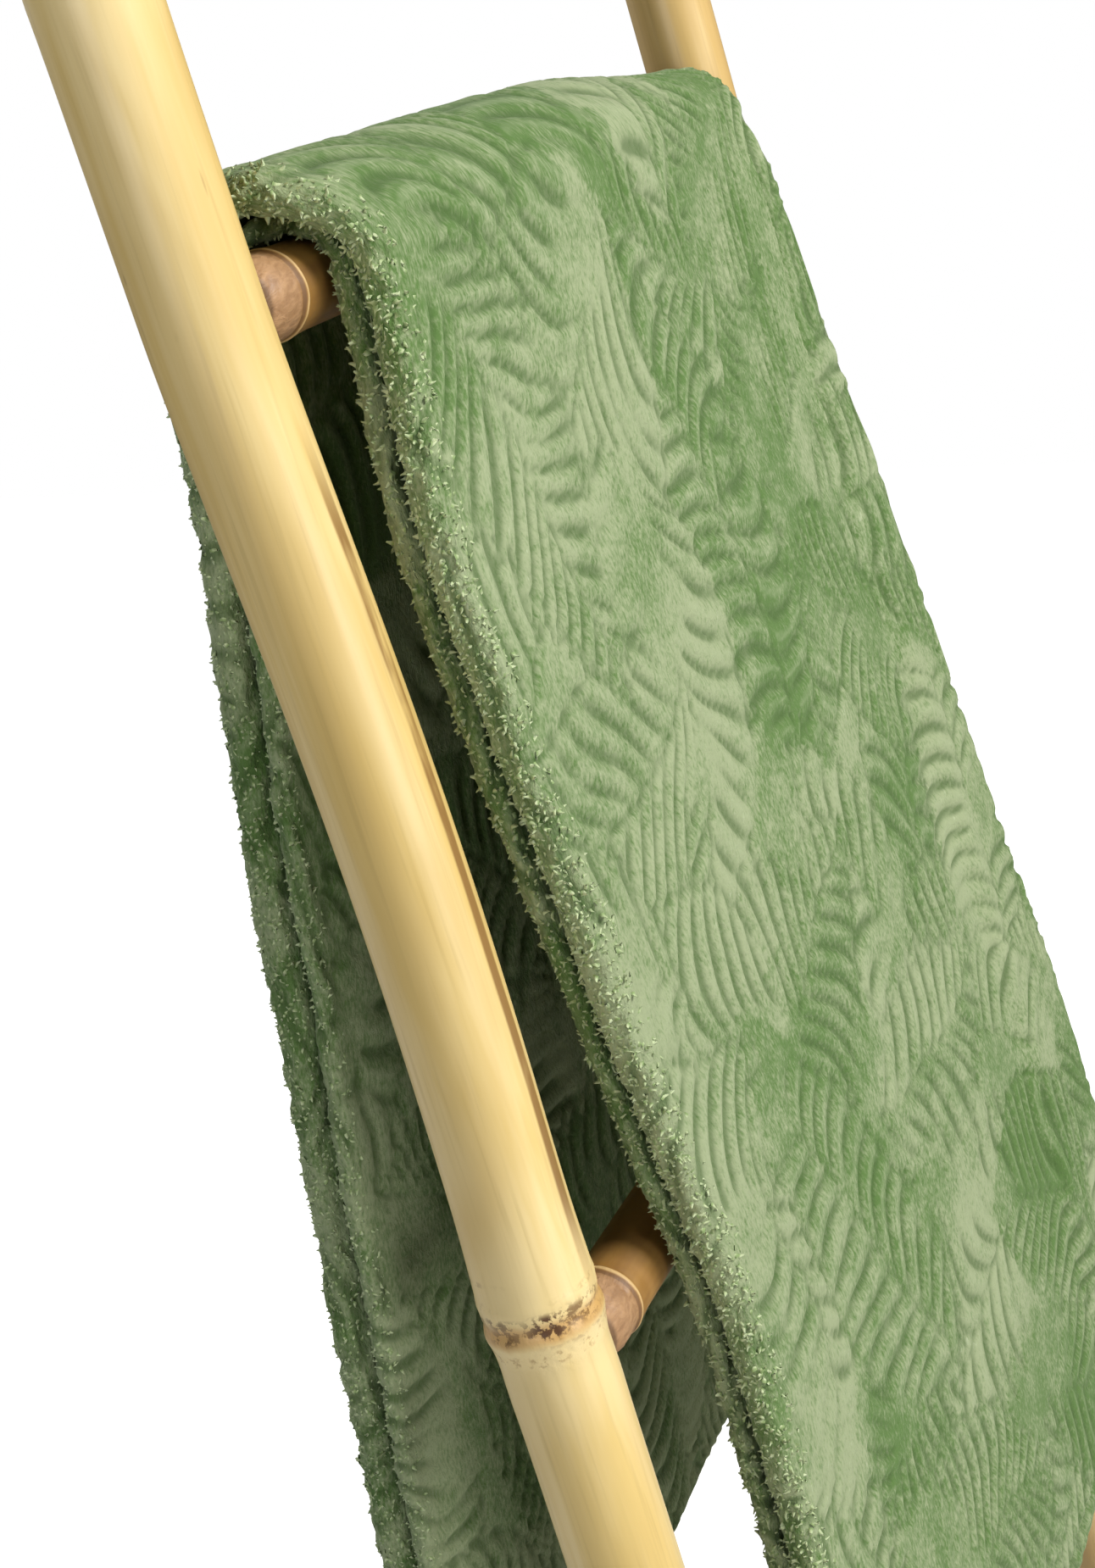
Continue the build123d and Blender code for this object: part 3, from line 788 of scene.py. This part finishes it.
class Half:
    """One half of the throw: its rows run from the crest to the hem, at reach metres of cloth from
    the crest, first round the rung through an angle and then straight down a drop."""

    def __init__(self, front):
        self.front = front
        self.round = ROUND_FRONT if front else pi / 2
        self.drop = FRONT_DROP if front else BACK_DROP
        pitch = (3.0 if front else 3.4) * MM
        turns = np.linspace(-TAIL, self.round, 26 if front else 24)[:-1]
        straight = np.arange(0, self.drop - HEM_ROUND, pitch)
        roll = np.linspace(0, pi / 2, 6)
        hem = self.drop - HEM_ROUND * (1 - np.sin(roll))
        self.turn = np.concatenate([turns, np.full(len(straight) + len(hem), self.round)])[:, None]
        self.fall = np.concatenate([np.zeros(len(turns)), straight, hem])[:, None]
        self.tail = np.clip(-self.turn / TAIL, 0, 1)
        open_rows = np.ones(len(turns) + len(straight))
        self.close = np.concatenate([open_rows, np.cos(roll)])[:, None] * (1 - 0.3 * self.tail)
        self.reach = (SEAT + STACK / 2) * self.turn + self.fall
        self.edges()

    def edges(self):
        """Where the folds and the free edges lie along the half, from the left rail's axis."""
        bent, fall = self.turn / self.round, self.fall
        crest_left, crest_right = 30 * MM, 450 * MM
        if self.front:
            left, right, self.thick_right = (along(table, fall) for table in FRONT_EDGES)
        else:
            left, right, self.thick_right = (along(table, fall) for table in BACK_EDGES)
        on_rung = step(bent, 0, 1) * (fall == 0) + (fall > 0)
        left = crest_left + (left - crest_left) * on_rung + 1.2 * MM * self.tail
        right = crest_right + (right - crest_right) * on_rung - 1.2 * MM * self.tail
        sway = wander(self.reach, 1.0 if self.front else 3.0, 0.21) * step(self.reach, 0, 0.05)
        hollow = 21 * MM * (1 - step(self.reach, 0.0, 0.045)) + 1.5 * MM
        self.left = left + 1.2 * MM * sway, left + hollow + 1.6 * MM * wander(self.reach, 6.0, 0.13)
        right_in = right - 12 * MM + 3 * MM * wander(self.reach, 4.0, 0.3)
        self.right = right, right - 5 * MM + 2 * MM * sway, right_in
        self.uneven = 0.8 * MM * wander(self.reach, 8.0, 0.09)

    def thick(self, x):
        """The height of the stack of four layers."""
        share = step(x, 250 * MM, 445 * MM)
        plump = STACK + self.uneven * (1 - step(x, 0, 120 * MM))
        return plump + (self.thick_right - plump) * share

    def flat(self, layer, face, start, end, share, width):
        """A layer's face from start to end: x, depth in the stack, and place across the cloth."""
        x = start + (end - start) * share
        inner = step(x, self.left[layer // 2] + 11 * MM, self.left[layer // 2] + 58 * MM)
        fold, middle = LAYERS_AT_FOLD[layer][face], LAYERS_INSIDE[layer][face]
        depth = self.thick(x) * (fold + (middle - fold) * inner)
        return x, depth, width[0] + (width[1] - width[0]) * share + 0 * x

    def side(self, fine):
        """The columns of one face of the cloth, from its first edge to its last. fine is the face
        that shows: outermost on the stack, and innermost too."""
        (left, left_in), (right, right_fold, right_in) = self.left, self.right
        at, inside = LAYERS_AT_FOLD, LAYERS_INSIDE
        face = 0 if fine else 1
        other = 1 - face
        wide = PANELS_ACROSS
        counts = (18, 5, 8, 8, 8, 5, 18)
        if fine:
            counts = (160, 14, 6, 5, 5, 12, 24) if self.front else (112, 14, 6, 5, 5, 12, 112)
        squash = 1.15

        def shares(count, ends=True):
            return np.linspace(0, 1, count + 1)[None, : None if ends else -1]

        def tuck(low, high):
            """How far a flat face stops short of the middle of its fold."""
            return squash * (high - low) / 2 * self.thick(left)

        first_roll = tuck(at[1][1], at[0][0])
        second_roll = tuck(at[3][1], at[2][0])
        edge_half = (inside[0][0] - inside[0][1]) / 2 * self.thick(right)
        high_1, low_1 = at[0][face], at[1][other]
        high_3, low_3 = at[2][face], at[3][other]
        high_2, low_2 = inside[1][other], inside[2][face]
        reach = 0.5 * (inside[1][0] - inside[2][1]) * self.thick(right_fold)

        def free_edge(edge, layer, start):
            """A quarter turn from the middle of a free edge to the face, or back from it."""
            top, bottom = inside[layer]
            thick = self.thick(edge)
            middle, half = (top + bottom) / 2 * thick, (top - bottom) / 2 * thick
            sign = 1 if (layer == 0) == fine else -1
            phi = np.array([0.1, 0.6, 1.1])[None] if start else np.array([1.1, 0.6, 0.1])[None]
            at_x = edge - 1.2 * half * (1 - np.cos(phi))
            u = wide[0] - 0.004 * np.cos(phi) if start else wide[7] + 0.004 * np.cos(phi)
            return at_x, middle + sign * half * np.sin(phi), u + 0 * edge

        edge_gap = 1.2 * edge_half
        inner_gap = 1.2 * (inside[3][0] - inside[3][1]) / 2 * self.thick(right_in)
        third_roll = reach * 1.1
        at_first, at_second, at_third = left + first_roll, left_in + second_roll, right_fold - third_roll
        steps = [shares(count, False) for count in counts[:-1]] + [shares(counts[-1])]
        columns = [
            free_edge(right, 0, True),
            self.flat(0, face, right - edge_gap, at_first, steps[0], wide[0:2]),
            self.bend(left, first_roll, high_1, low_1, steps[1], wide[1:3], fine, True),
            self.flat(1, other, at_first, at_third, steps[2], wide[2:4]),
            self.bend(right_fold, third_roll, high_2, low_2, steps[3], wide[3:5], not fine, False),
            self.flat(2, face, at_third, at_second, steps[4], wide[4:6]),
            self.bend(left_in, second_roll, high_3, low_3, steps[5], wide[5:7], fine, True),
            self.flat(3, other, at_second, right_in - inner_gap, steps[6], wide[6:8]),
            free_edge(right_in, 3, False),
        ]
        return [np.concatenate([np.broadcast_to(c[i], (len(self.turn), c[i].shape[1])) for c in columns], 1)
                for i in range(3)]

    def bend(self, tip, roll, high, low, share, width, outside, left):
        """A fold's face, from depth high to depth low. Its outside reaches the tip, and its inside
        turns just short of the roll's own middle."""
        phi = pi * share
        base = tip + roll * (1 if left else -1)
        thick = self.thick(base)
        middle, half = (high + low) / 2 * thick, (high - low) / 2 * thick
        reach = roll if outside else np.abs(half)
        x = base - reach * np.sin(phi) * (1 if left else -1)
        return x, middle + half * np.cos(phi), width[0] + (width[1] - width[0]) * share + 0 * x

    def placed(self, x, depth, u):
        """Points in space, and the place along the cloth, for a face's columns."""
        layer_of = np.searchsorted(FOLDS_ACROSS, u)
        middles = np.array([[(a + b) / 2 for a, b in LAYERS_INSIDE]])[0][layer_of] * self.thick(x)
        depth = middles + (depth - middles) * np.maximum(self.close, 0.02)
        short = np.interp(u, (0.45, 0.49, 0.94, 0.98, 1.42, 1.46), (0, -4, -4, -2, -2, -7)) * MM
        short = short + 2.5 * MM * np.sin(9 * x + 3 * u)
        fall = self.fall + short * (self.fall / self.drop) ** 6
        low = step(fall, 0.02, 0.2)
        if self.front:
            over_rail = 5.4 * MM * step(x, 438 * MM, 456 * MM) * step(fall, 0, 0.03)
            between_rails = 1 - step(x, 380 * MM, 440 * MM)
            sag = 3.2 * MM * low * (0.5 + 0.5 * np.sin(15 * x + 4 * fall + 1.0)) * between_rails
            away = SEAT + depth + over_rail + sag
            y = top_rung.y - away * np.sin(self.turn) - fall * up[1]
            z = top_rung.z + away * np.cos(self.turn) - fall * up[2]
        else:
            ripple = 3.5 * MM * low * np.sin(14 * x + 3 * fall + 0.6) + 3 * MM * low
            away = SEAT + depth + ripple
            y = top_rung.y + away * np.sin(self.turn) + 0 * x
            z = top_rung.z + away * np.cos(self.turn) - fall
        points = np.stack([x + left_x, y, z], -1)
        sign = 1 if self.front else -1
        return points, sign * (self.reach + 0 * x) + CREST_ALONG

    def mesh(self, name):
        """The finished half, closed all round, with the leaves pressed into the faces that show."""
        x, depth, u = self.side(True)
        points, v = self.placed(x, depth, u)
        slope_u, slope_v = np.gradient(points, axis=1), np.gradient(points, axis=0)
        normal = np.cross(slope_u, slope_v)
        normal /= np.linalg.norm(normal, axis=-1, keepdims=True) + 1e-12
        if not self.front:
            normal = -normal
        for _ in range(2):
            normal[:, 1:-1] = (normal[:, :-2] + 2 * normal[:, 1:-1] + normal[:, 2:]) / 4
        high, brushed = leaf_pattern(u, v)
        shows = np.maximum(1 - step(u, 0.475, 0.50), step(u, 1.42, 1.435)) * self.close
        if self.front:
            shows = shows * (1 - step(u, 1.45, 1.47))
        fold = np.exp(-(((u - FOLDS_ACROSS[0]) / 0.014) ** 2)) + 0.8 * np.exp(-(((u - 1.438) / 0.012) ** 2))
        hem_groove = np.exp(-(((self.drop - self.fall - HEM_TURNED) / (1.6 * MM)) ** 2)) + 0 * u
        press = 2.7 * MM * (1 - high) * (1 - 0.55 * np.clip(fold, 0, 1)) + 1.6 * MM * hem_groove
        clump = 1.0 * MM * np.sin(560 * u + 3 * np.sin(90 * v)) * np.sin(420 * v + 2 * np.sin(60 * u))
        points = points - normal * ((press - clump * np.clip(fold, 0, 1)) * shows)[..., None]
        row = np.abs(self.fall[:, 0] - (self.drop - HEM_TURNED)).argmin()
        sewn = slice(4, 160 if self.front else 112)
        self.hem_line = points[row, sewn] + 0.25 * MM * normal[row, sewn]
        back_points, back_v = self.placed(*self.side(False))
        back_u = self.side(False)[2]
        rows, fine_n, coarse_n = points.shape[0], points.shape[1], back_points.shape[1]
        fine_at = np.arange(rows * fine_n).reshape(rows, fine_n)
        coarse_at = np.arange(rows * coarse_n).reshape(rows, coarse_n) + rows * fine_n
        faces = []
        for grid in (fine_at, coarse_at[:, ::-1]):
            quads = np.stack([grid[:-1, :-1], grid[1:, :-1], grid[1:, 1:], grid[:-1, 1:]], -1)
            faces += quads.reshape(-1, 4).tolist()
        for edge in (0, -1):
            a, b = fine_at[:, edge], coarse_at[:, edge]
            quads = np.stack([a[:-1], b[:-1], b[1:], a[1:]], -1)
            faces += (quads if edge == 0 else quads[:, ::-1]).tolist()
        for row in (0, -1):
            ends = zip_strip(fine_at[row], u[row], coarse_at[row], back_u[row])
            faces += ends if row == 0 else [f[::-1] for f in ends]

        def both(fine_field, coarse_field):
            return np.concatenate([np.ravel(fine_field + 0 * u), np.ravel(coarse_field + 0 * back_u)])

        every = np.concatenate([points.reshape(-1, 3), back_points.reshape(-1, 3)])
        piece = mesh_object(name, every, faces)
        work = bmesh.new()
        work.from_mesh(piece.data)
        bmesh.ops.recalc_face_normals(work, faces=work.faces)
        work.to_mesh(piece.data)
        work.free()
        set_uv(piece, np.stack([both(u, back_u), both(v, back_v)], -1))
        set_value(piece, "pile_height", both(1 - (1 - high) * shows, 0.8))
        set_value(piece, "brushed", both(brushed, 0.0))
        set_value(piece, "folded", both(np.clip(fold, 0, 1), 0.0))
        return piece


def plush_material():
    """Short dense pile, pressed into leaves, with painted light in its colour: painted sheen, paler where
    it is brushed towards the light and a fuller green where it is brushed away, a painted highlight where
    it stands highest, and painted shade down in the grooves and between the tufts."""
    material, tree, shader = new_material("sage_plush")
    cloth = tree.nodes.new("ShaderNodeTexCoord").outputs["UV"]
    place = tree.nodes.new("ShaderNodeTexCoord").outputs["Object"]
    height, folded = attribute(tree, "pile_height"), attribute(tree, "folded")
    # Painted sheen: pile brushed towards the light is painted paler and pile brushed away a fuller green;
    # the broad, smudge and fibre noises add random tone on top.
    brushed_sheen = maths(tree, "MULTIPLY_ADD", attribute(tree, "brushed"), 0.20, 0.54)
    broad = maths(tree, "SUBTRACT", noise(tree, cloth, 11, 3, 0.55, 0.4, 2.0), 0.5)
    smudge = maths(tree, "SUBTRACT", noise(tree, cloth, 55, 4, 0.6, 0.8, 5.0), 0.5)
    pale = maths(tree, "MULTIPLY_ADD", broad, 1.15, brushed_sheen)
    pale = maths(tree, "MULTIPLY_ADD", smudge, 0.9, pale)
    fibre = grain(tree, cloth, (1, 0.45, 1), 620, 3, 0.65)
    pale = maths(tree, "MULTIPLY_ADD", maths(tree, "SUBTRACT", fibre, 0.5), 1.7, pale)
    colour = mix(tree, ramp(tree, pale, 0.15, 0.9), (0.092, 0.172, 0.046), (0.300, 0.352, 0.200))
    dash = grain(tree, cloth, (1, 0.3, 1), 420, 1, 0.5, 1.5, 9.0, (0, 0, 0.5))
    dash = maths(tree, "MULTIPLY", ramp(tree, dash, 0.68, 0.76), ramp(tree, broad, -0.02, 0.12))
    colour = mix(tree, maths(tree, "MULTIPLY", dash, 0.5), colour, (0.44, 0.50, 0.33))
    # Painted shade: the pile is painted darker where it is pressed low, down in the grooves of the leaves.
    hollow = ramp(tree, height, 0.15, 0.8, 0.68, 0.0)
    colour = mix(tree, hollow, colour, (0.058, 0.108, 0.030))
    # Painted highlight: the pile is painted paler where it stands highest, on the crests of the leaves.
    crest_highlight = ramp(tree, height, 0.86, 1.0)
    colour = mix(tree, maths(tree, "MULTIPLY", crest_highlight, 0.3), colour, (0.36, 0.42, 0.25))
    curls = grain(tree, place, (1, 1, 0.55), 330, 3, 0.6, 0.8)
    # Painted shade between the curled clumps along the folds, where the curls noise is low.
    crevice_shade = maths(tree, "MULTIPLY", ramp(tree, curls, 0.36, 0.5, 1.0, 0.0), folded)
    colour = mix(tree, maths(tree, "MULTIPLY", crevice_shade, 0.2), colour, (0.05, 0.085, 0.026))
    tree.links.new(colour, shader.inputs["Base Color"])
    shader.inputs["Roughness"].default_value = 0.92
    shader.inputs["Specular IOR Level"].default_value = 0.15
    shader.inputs["Sheen Weight"].default_value = 0.22
    shader.inputs["Sheen Roughness"].default_value = 0.45
    shader.inputs["Sheen Tint"].default_value = (0.80, 0.90, 0.66, 1)
    fine = bump(tree, fibre, 0.7 * MM, 0.6)
    middling = bump(tree, noise(tree, cloth, 230, 3, 0.6, 1.0, 3.0), 1.3 * MM, 0.6, fine)
    tufted = maths(tree, "MULTIPLY", curls, folded)
    tree.links.new(bump(tree, tufted, 1.6 * MM, 0.9, middling), shader.inputs["Normal"])
    return material


plush = plush_material()
HINGES = {joint["name"]: Vector(joint["pos_m"]) for joint in frame["joints"] if "pos_m" in joint}


def bend_at_hinge(piece, front):
    """Lets a piece of the throw bend where its drop swings, a little above the hinge to below."""
    name, body = ("front_swing", "front_drop") if front else ("back_swing", "back_drop")
    down_drop = Vector(-up) if front else Vector((0, 0, -1))
    hinge = HINGES[name]
    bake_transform(piece, "throw", body, start=hinge - 25 * MM * down_drop, end=hinge + 25 * MM * down_drop)


throw_halves, hem_lines = {}, {}
for front in (True, False):
    half = Half(front)
    cloth = half.mesh("throw_front" if front else "throw_back")
    cloth.data.materials.append(plush)
    throw_halves[front], hem_lines[front] = cloth, half.hem_line


# Tufts: along the two folds at the left the pile is bent open, and its yarn stands out in little
# curled clumps. Each is a bent cone with its foot in the cloth, thickest where the fold is sharpest.
def geometry_tree(name, sizes, material):
    """A Geometry Nodes tree with a geometry input and named number inputs, and its parts."""
    tree = bpy.data.node_groups.new(name, "GeometryNodeTree")
    tree.interface.new_socket("Geometry", in_out="INPUT", socket_type="NodeSocketGeometry")
    for key in sizes:
        tree.interface.new_socket(key, in_out="INPUT", socket_type="NodeSocketFloat")
    tree.interface.new_socket("Geometry", in_out="OUTPUT", socket_type="NodeSocketGeometry")
    start, end = tree.nodes.new("NodeGroupInput"), tree.nodes.new("NodeGroupOutput")
    real = tree.nodes.new("GeometryNodeRealizeInstances")
    paint = tree.nodes.new("GeometryNodeSetMaterial")
    paint.inputs["Material"].default_value = material
    tree.links.new(real.outputs[0], paint.inputs["Geometry"])
    tree.links.new(paint.outputs[0], end.inputs[0])
    return tree, start, real


def grown(base, tree, sizes, name):
    """The plain mesh that a tree makes on base, which is removed."""
    grower = base.modifiers.new(name, "NODES")
    grower.node_group = tree
    for item in tree.interface.items_tree:
        if item.in_out == "INPUT" and item.name in sizes:
            grower[item.identifier] = sizes[item.name]
    shown = base.evaluated_get(bpy.context.evaluated_depsgraph_get())
    mesh = bpy.data.meshes.new_from_object(shown)
    mesh.name = name
    mesh.polygons.foreach_set("use_smooth", [True] * len(mesh.polygons))
    piece = bpy.data.objects.new(name, mesh)
    bpy.context.scene.collection.objects.link(piece)
    bpy.data.objects.remove(base)
    return piece


def tuft_material():
    """Curled clumps of pile: painted shade makes them dark green at the root, down among the other clumps,
    and a painted highlight makes them pale and a little yellow at the tip.
    """
    material, tree, shader = new_material("sage_tufts")
    place = tree.nodes.new("ShaderNodeTexCoord").outputs["Object"]
    tone = maths(tree, "MULTIPLY_ADD", attribute(tree, "tuft_tone"), 0.6, 0.2)
    tone = maths(tree, "ADD", tone, maths(tree, "MULTIPLY", noise(tree, place, 40, 2), 0.3))
    body = mix(tree, tone, (0.310, 0.405, 0.185), (0.540, 0.610, 0.375))
    rise = attribute(tree, "tuft_rise")
    # Painted shade at the root of each clump and a painted highlight towards its tip, by its rise.
    colour = mix(tree, ramp(tree, rise, 0.15, 0.6), (0.235, 0.325, 0.135), body)
    colour = mix(tree, ramp(tree, rise, 0.65, 1.0, 0.0, 0.4), colour, (0.42, 0.49, 0.30))
    tree.links.new(colour, shader.inputs["Base Color"])
    shader.inputs["Roughness"].default_value = 0.9
    shader.inputs["Specular IOR Level"].default_value = 0.15
    shader.inputs["Sheen Weight"].default_value = 0.3
    shader.inputs["Sheen Tint"].default_value = (0.80, 0.90, 0.66, 1)
    strands = grain(tree, place, (1, 1, 0.4), 1500)
    tree.links.new(bump(tree, strands, 0.3 * MM, 0.5), shader.inputs["Normal"])
    return material


def tuft_tree(material):
    """Bent cones scattered over faces, thickest where the folded attribute is high."""
    tree, start, real = geometry_tree("tufts", ("Spacing", "Length", "Width"), material)
    link = tree.links.new
    scatter = tree.nodes.new("GeometryNodeDistributePointsOnFaces")
    scatter.distribute_method = "POISSON"
    scatter.inputs["Density Max"].default_value = 400000
    scatter.inputs["Seed"].default_value = 11
    link(start.outputs["Geometry"], scatter.inputs["Mesh"])
    link(start.outputs["Spacing"], scatter.inputs["Distance Min"])
    fold = tree.nodes.new("GeometryNodeInputNamedAttribute")
    fold.data_type = "FLOAT"
    fold.inputs["Name"].default_value = "folded"
    link(fold.outputs[0], scatter.inputs["Density Factor"])
    cone = tree.nodes.new("GeometryNodeMeshCone")
    cone.fill_type = "NONE"
    cone.inputs["Vertices"].default_value = 4
    cone.inputs["Side Segments"].default_value = 2
    cone.inputs["Radius Top"].default_value = 0.0003
    link(start.outputs["Width"], cone.inputs["Radius Bottom"])
    link(start.outputs["Length"], cone.inputs["Depth"])
    position = tree.nodes.new("GeometryNodeInputPosition")
    parts = tree.nodes.new("ShaderNodeSeparateXYZ")
    link(position.outputs[0], parts.inputs[0])
    rise = tree.nodes.new("ShaderNodeMath")
    rise.operation = "DIVIDE"
    link(parts.outputs["Z"], rise.inputs[0])
    link(start.outputs["Length"], rise.inputs[1])
    keep = tree.nodes.new("GeometryNodeStoreNamedAttribute")
    keep.data_type = "FLOAT"
    keep.inputs["Name"].default_value = "tuft_rise"
    link(cone.outputs["Mesh"], keep.inputs["Geometry"])
    link(rise.outputs[0], keep.inputs["Value"])
    curl = tree.nodes.new("ShaderNodeMath")
    curl.operation = "POWER"
    curl.inputs[1].default_value = 2.0
    link(rise.outputs[0], curl.inputs[0])
    lean_by = tree.nodes.new("ShaderNodeMath")
    lean_by.operation = "MULTIPLY"
    link(curl.outputs[0], lean_by.inputs[0])
    link(start.outputs["Length"], lean_by.inputs[1])
    shift = tree.nodes.new("ShaderNodeCombineXYZ")
    link(lean_by.outputs[0], shift.inputs["X"])
    bent = tree.nodes.new("GeometryNodeSetPosition")
    link(keep.outputs[0], bent.inputs["Geometry"])
    link(shift.outputs[0], bent.inputs["Offset"])
    sunk = tree.nodes.new("GeometryNodeTransform")
    sunk.inputs["Translation"].default_value = (0, 0, -0.0011)
    link(bent.outputs[0], sunk.inputs["Geometry"])
    swing = tree.nodes.new("FunctionNodeRandomValue")
    swing.data_type = "FLOAT_VECTOR"
    swing.inputs["Min"].default_value = (-1.1, -1.1, -3.1416)
    swing.inputs["Max"].default_value = (1.1, 1.1, 3.1416)
    swing.inputs["Seed"].default_value = 5
    spin = tree.nodes.new("FunctionNodeRotateRotation")
    spin.rotation_space = "LOCAL"
    link(scatter.outputs["Rotation"], spin.inputs["Rotation"])
    link(swing.outputs[0], spin.inputs["Rotate By"])
    grow = tree.nodes.new("FunctionNodeRandomValue")
    grow.inputs[2].default_value = 0.6
    grow.inputs[3].default_value = 1.35
    grow.inputs["Seed"].default_value = 6
    place = tree.nodes.new("GeometryNodeInstanceOnPoints")
    link(scatter.outputs["Points"], place.inputs["Points"])
    link(sunk.outputs[0], place.inputs["Instance"])
    link(spin.outputs[0], place.inputs["Rotation"])
    link(grow.outputs[1], place.inputs["Scale"])
    tone = tree.nodes.new("FunctionNodeRandomValue")
    tone.inputs["Seed"].default_value = 7
    tag = tree.nodes.new("GeometryNodeStoreNamedAttribute")
    tag.data_type, tag.domain = "FLOAT", "INSTANCE"
    tag.inputs["Name"].default_value = "tuft_tone"
    link(place.outputs[0], tag.inputs["Geometry"])
    link(tone.outputs[1], tag.inputs["Value"])
    link(tag.outputs[0], real.inputs[0])
    return tree


def fold_faces(cloth, name):
    """A copy of the faces of a half that are near its left folds."""
    copy = bpy.data.objects.new(name, cloth.data.copy())
    bpy.context.scene.collection.objects.link(copy)
    work = bmesh.new()
    work.from_mesh(copy.data)
    folded = work.verts.layers.float["folded"]
    smooth = [f for f in work.faces if min(v[folded] for v in f.verts) < 0.18]
    bmesh.ops.delete(work, geom=smooth, context="FACES")
    work.to_mesh(copy.data)
    work.free()
    return copy


tufting = tuft_tree(tuft_material())
throw_tufts = {}
for front, spacing in ((True, 1.35), (False, 1.6)):
    base = fold_faces(throw_halves[front], "fold")
    name = "throw_front_tufts" if front else "throw_back_tufts"
    sizes = {"Spacing": spacing * MM, "Length": (1.7 if front else 1.3) * MM, "Width": 1.2 * MM}
    throw_tufts[front] = grown(base, tufting, sizes, name)


# Hems: the cloth's two ends are turned under once and sewn down with a polyester thread, a shade
# darker than the pile. Its stitches lie in a groove 11 mm above the edge.
def stitch_tree(material):
    """Short stitches laid end to end along an edge."""
    tree, start, real = geometry_tree("stitches", ("Pitch", "Length", "Thread"), material)
    link = tree.links.new
    path = tree.nodes.new("GeometryNodeMeshToCurve")
    link(start.outputs["Geometry"], path.inputs[0])
    spaced = tree.nodes.new("GeometryNodeResampleCurve")
    spaced.mode = "LENGTH"
    link(path.outputs[0], spaced.inputs["Curve"])
    link(start.outputs["Pitch"], spaced.inputs["Length"])
    tangent = tree.nodes.new("GeometryNodeInputTangent")
    turn_to = tree.nodes.new("FunctionNodeAlignRotationToVector")
    turn_to.axis = "X"
    link(tangent.outputs[0], turn_to.inputs["Vector"])
    bead = tree.nodes.new("GeometryNodeMeshIcoSphere")
    bead.inputs["Subdivisions"].default_value = 2
    bead.inputs["Radius"].default_value = 0.5
    shape = tree.nodes.new("ShaderNodeCombineXYZ")
    link(start.outputs["Length"], shape.inputs["X"])
    link(start.outputs["Thread"], shape.inputs["Y"])
    link(start.outputs["Thread"], shape.inputs["Z"])
    place = tree.nodes.new("GeometryNodeInstanceOnPoints")
    link(spaced.outputs[0], place.inputs["Points"])
    link(bead.outputs["Mesh"], place.inputs["Instance"])
    link(turn_to.outputs[0], place.inputs["Rotation"])
    link(shape.outputs[0], place.inputs["Scale"])
    link(place.outputs[0], real.inputs[0])
    return tree


thread_material, thread_tree, thread_shader = new_material("hem_thread")
thread_place = thread_tree.nodes.new("ShaderNodeTexCoord").outputs["Object"]
plies = grain(thread_tree, thread_place, (1, 0.3, 1), 1800)
thread_colour = mix(thread_tree, plies, (0.12, 0.19, 0.07), (0.24, 0.32, 0.15))
thread_tree.links.new(thread_colour, thread_shader.inputs["Base Color"])
thread_tree.links.new(bump(thread_tree, plies, 0.1 * MM, 0.6), thread_shader.inputs["Normal"])
thread_shader.inputs["Roughness"].default_value = 0.6

stitching = stitch_tree(thread_material)
throw_stitches = {}
for front in (True, False):
    line = mesh_object("line", hem_lines[front], [])
    line.data.edges.add(len(hem_lines[front]) - 1)
    ends = [i + k for i in range(len(hem_lines[front]) - 1) for k in (0, 1)]
    line.data.edges.foreach_set("vertices", ends)
    line.data.update()
    name = "throw_front_hem_thread" if front else "throw_back_hem_thread"
    sizes = {"Pitch": 4.6 * MM, "Length": 3.6 * MM, "Thread": 0.9 * MM}
    throw_stitches[front] = grown(line, stitching, sizes, name)


# The throw put together: pile and tufts bend with each drop, and the threads ride on it. Both halves
# are one cloth of 2.0 by 1.5 m, made in two because its drops hang from different bodies.
for front in (True, False):
    for piece in (throw_halves[front], throw_tufts[front]):
        bend_at_hinge(piece, front)
    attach(throw_stitches[front], "front_drop" if front else "back_drop")
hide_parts("throw_front_drop", "throw_saddle")
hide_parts("throw_back_drop")
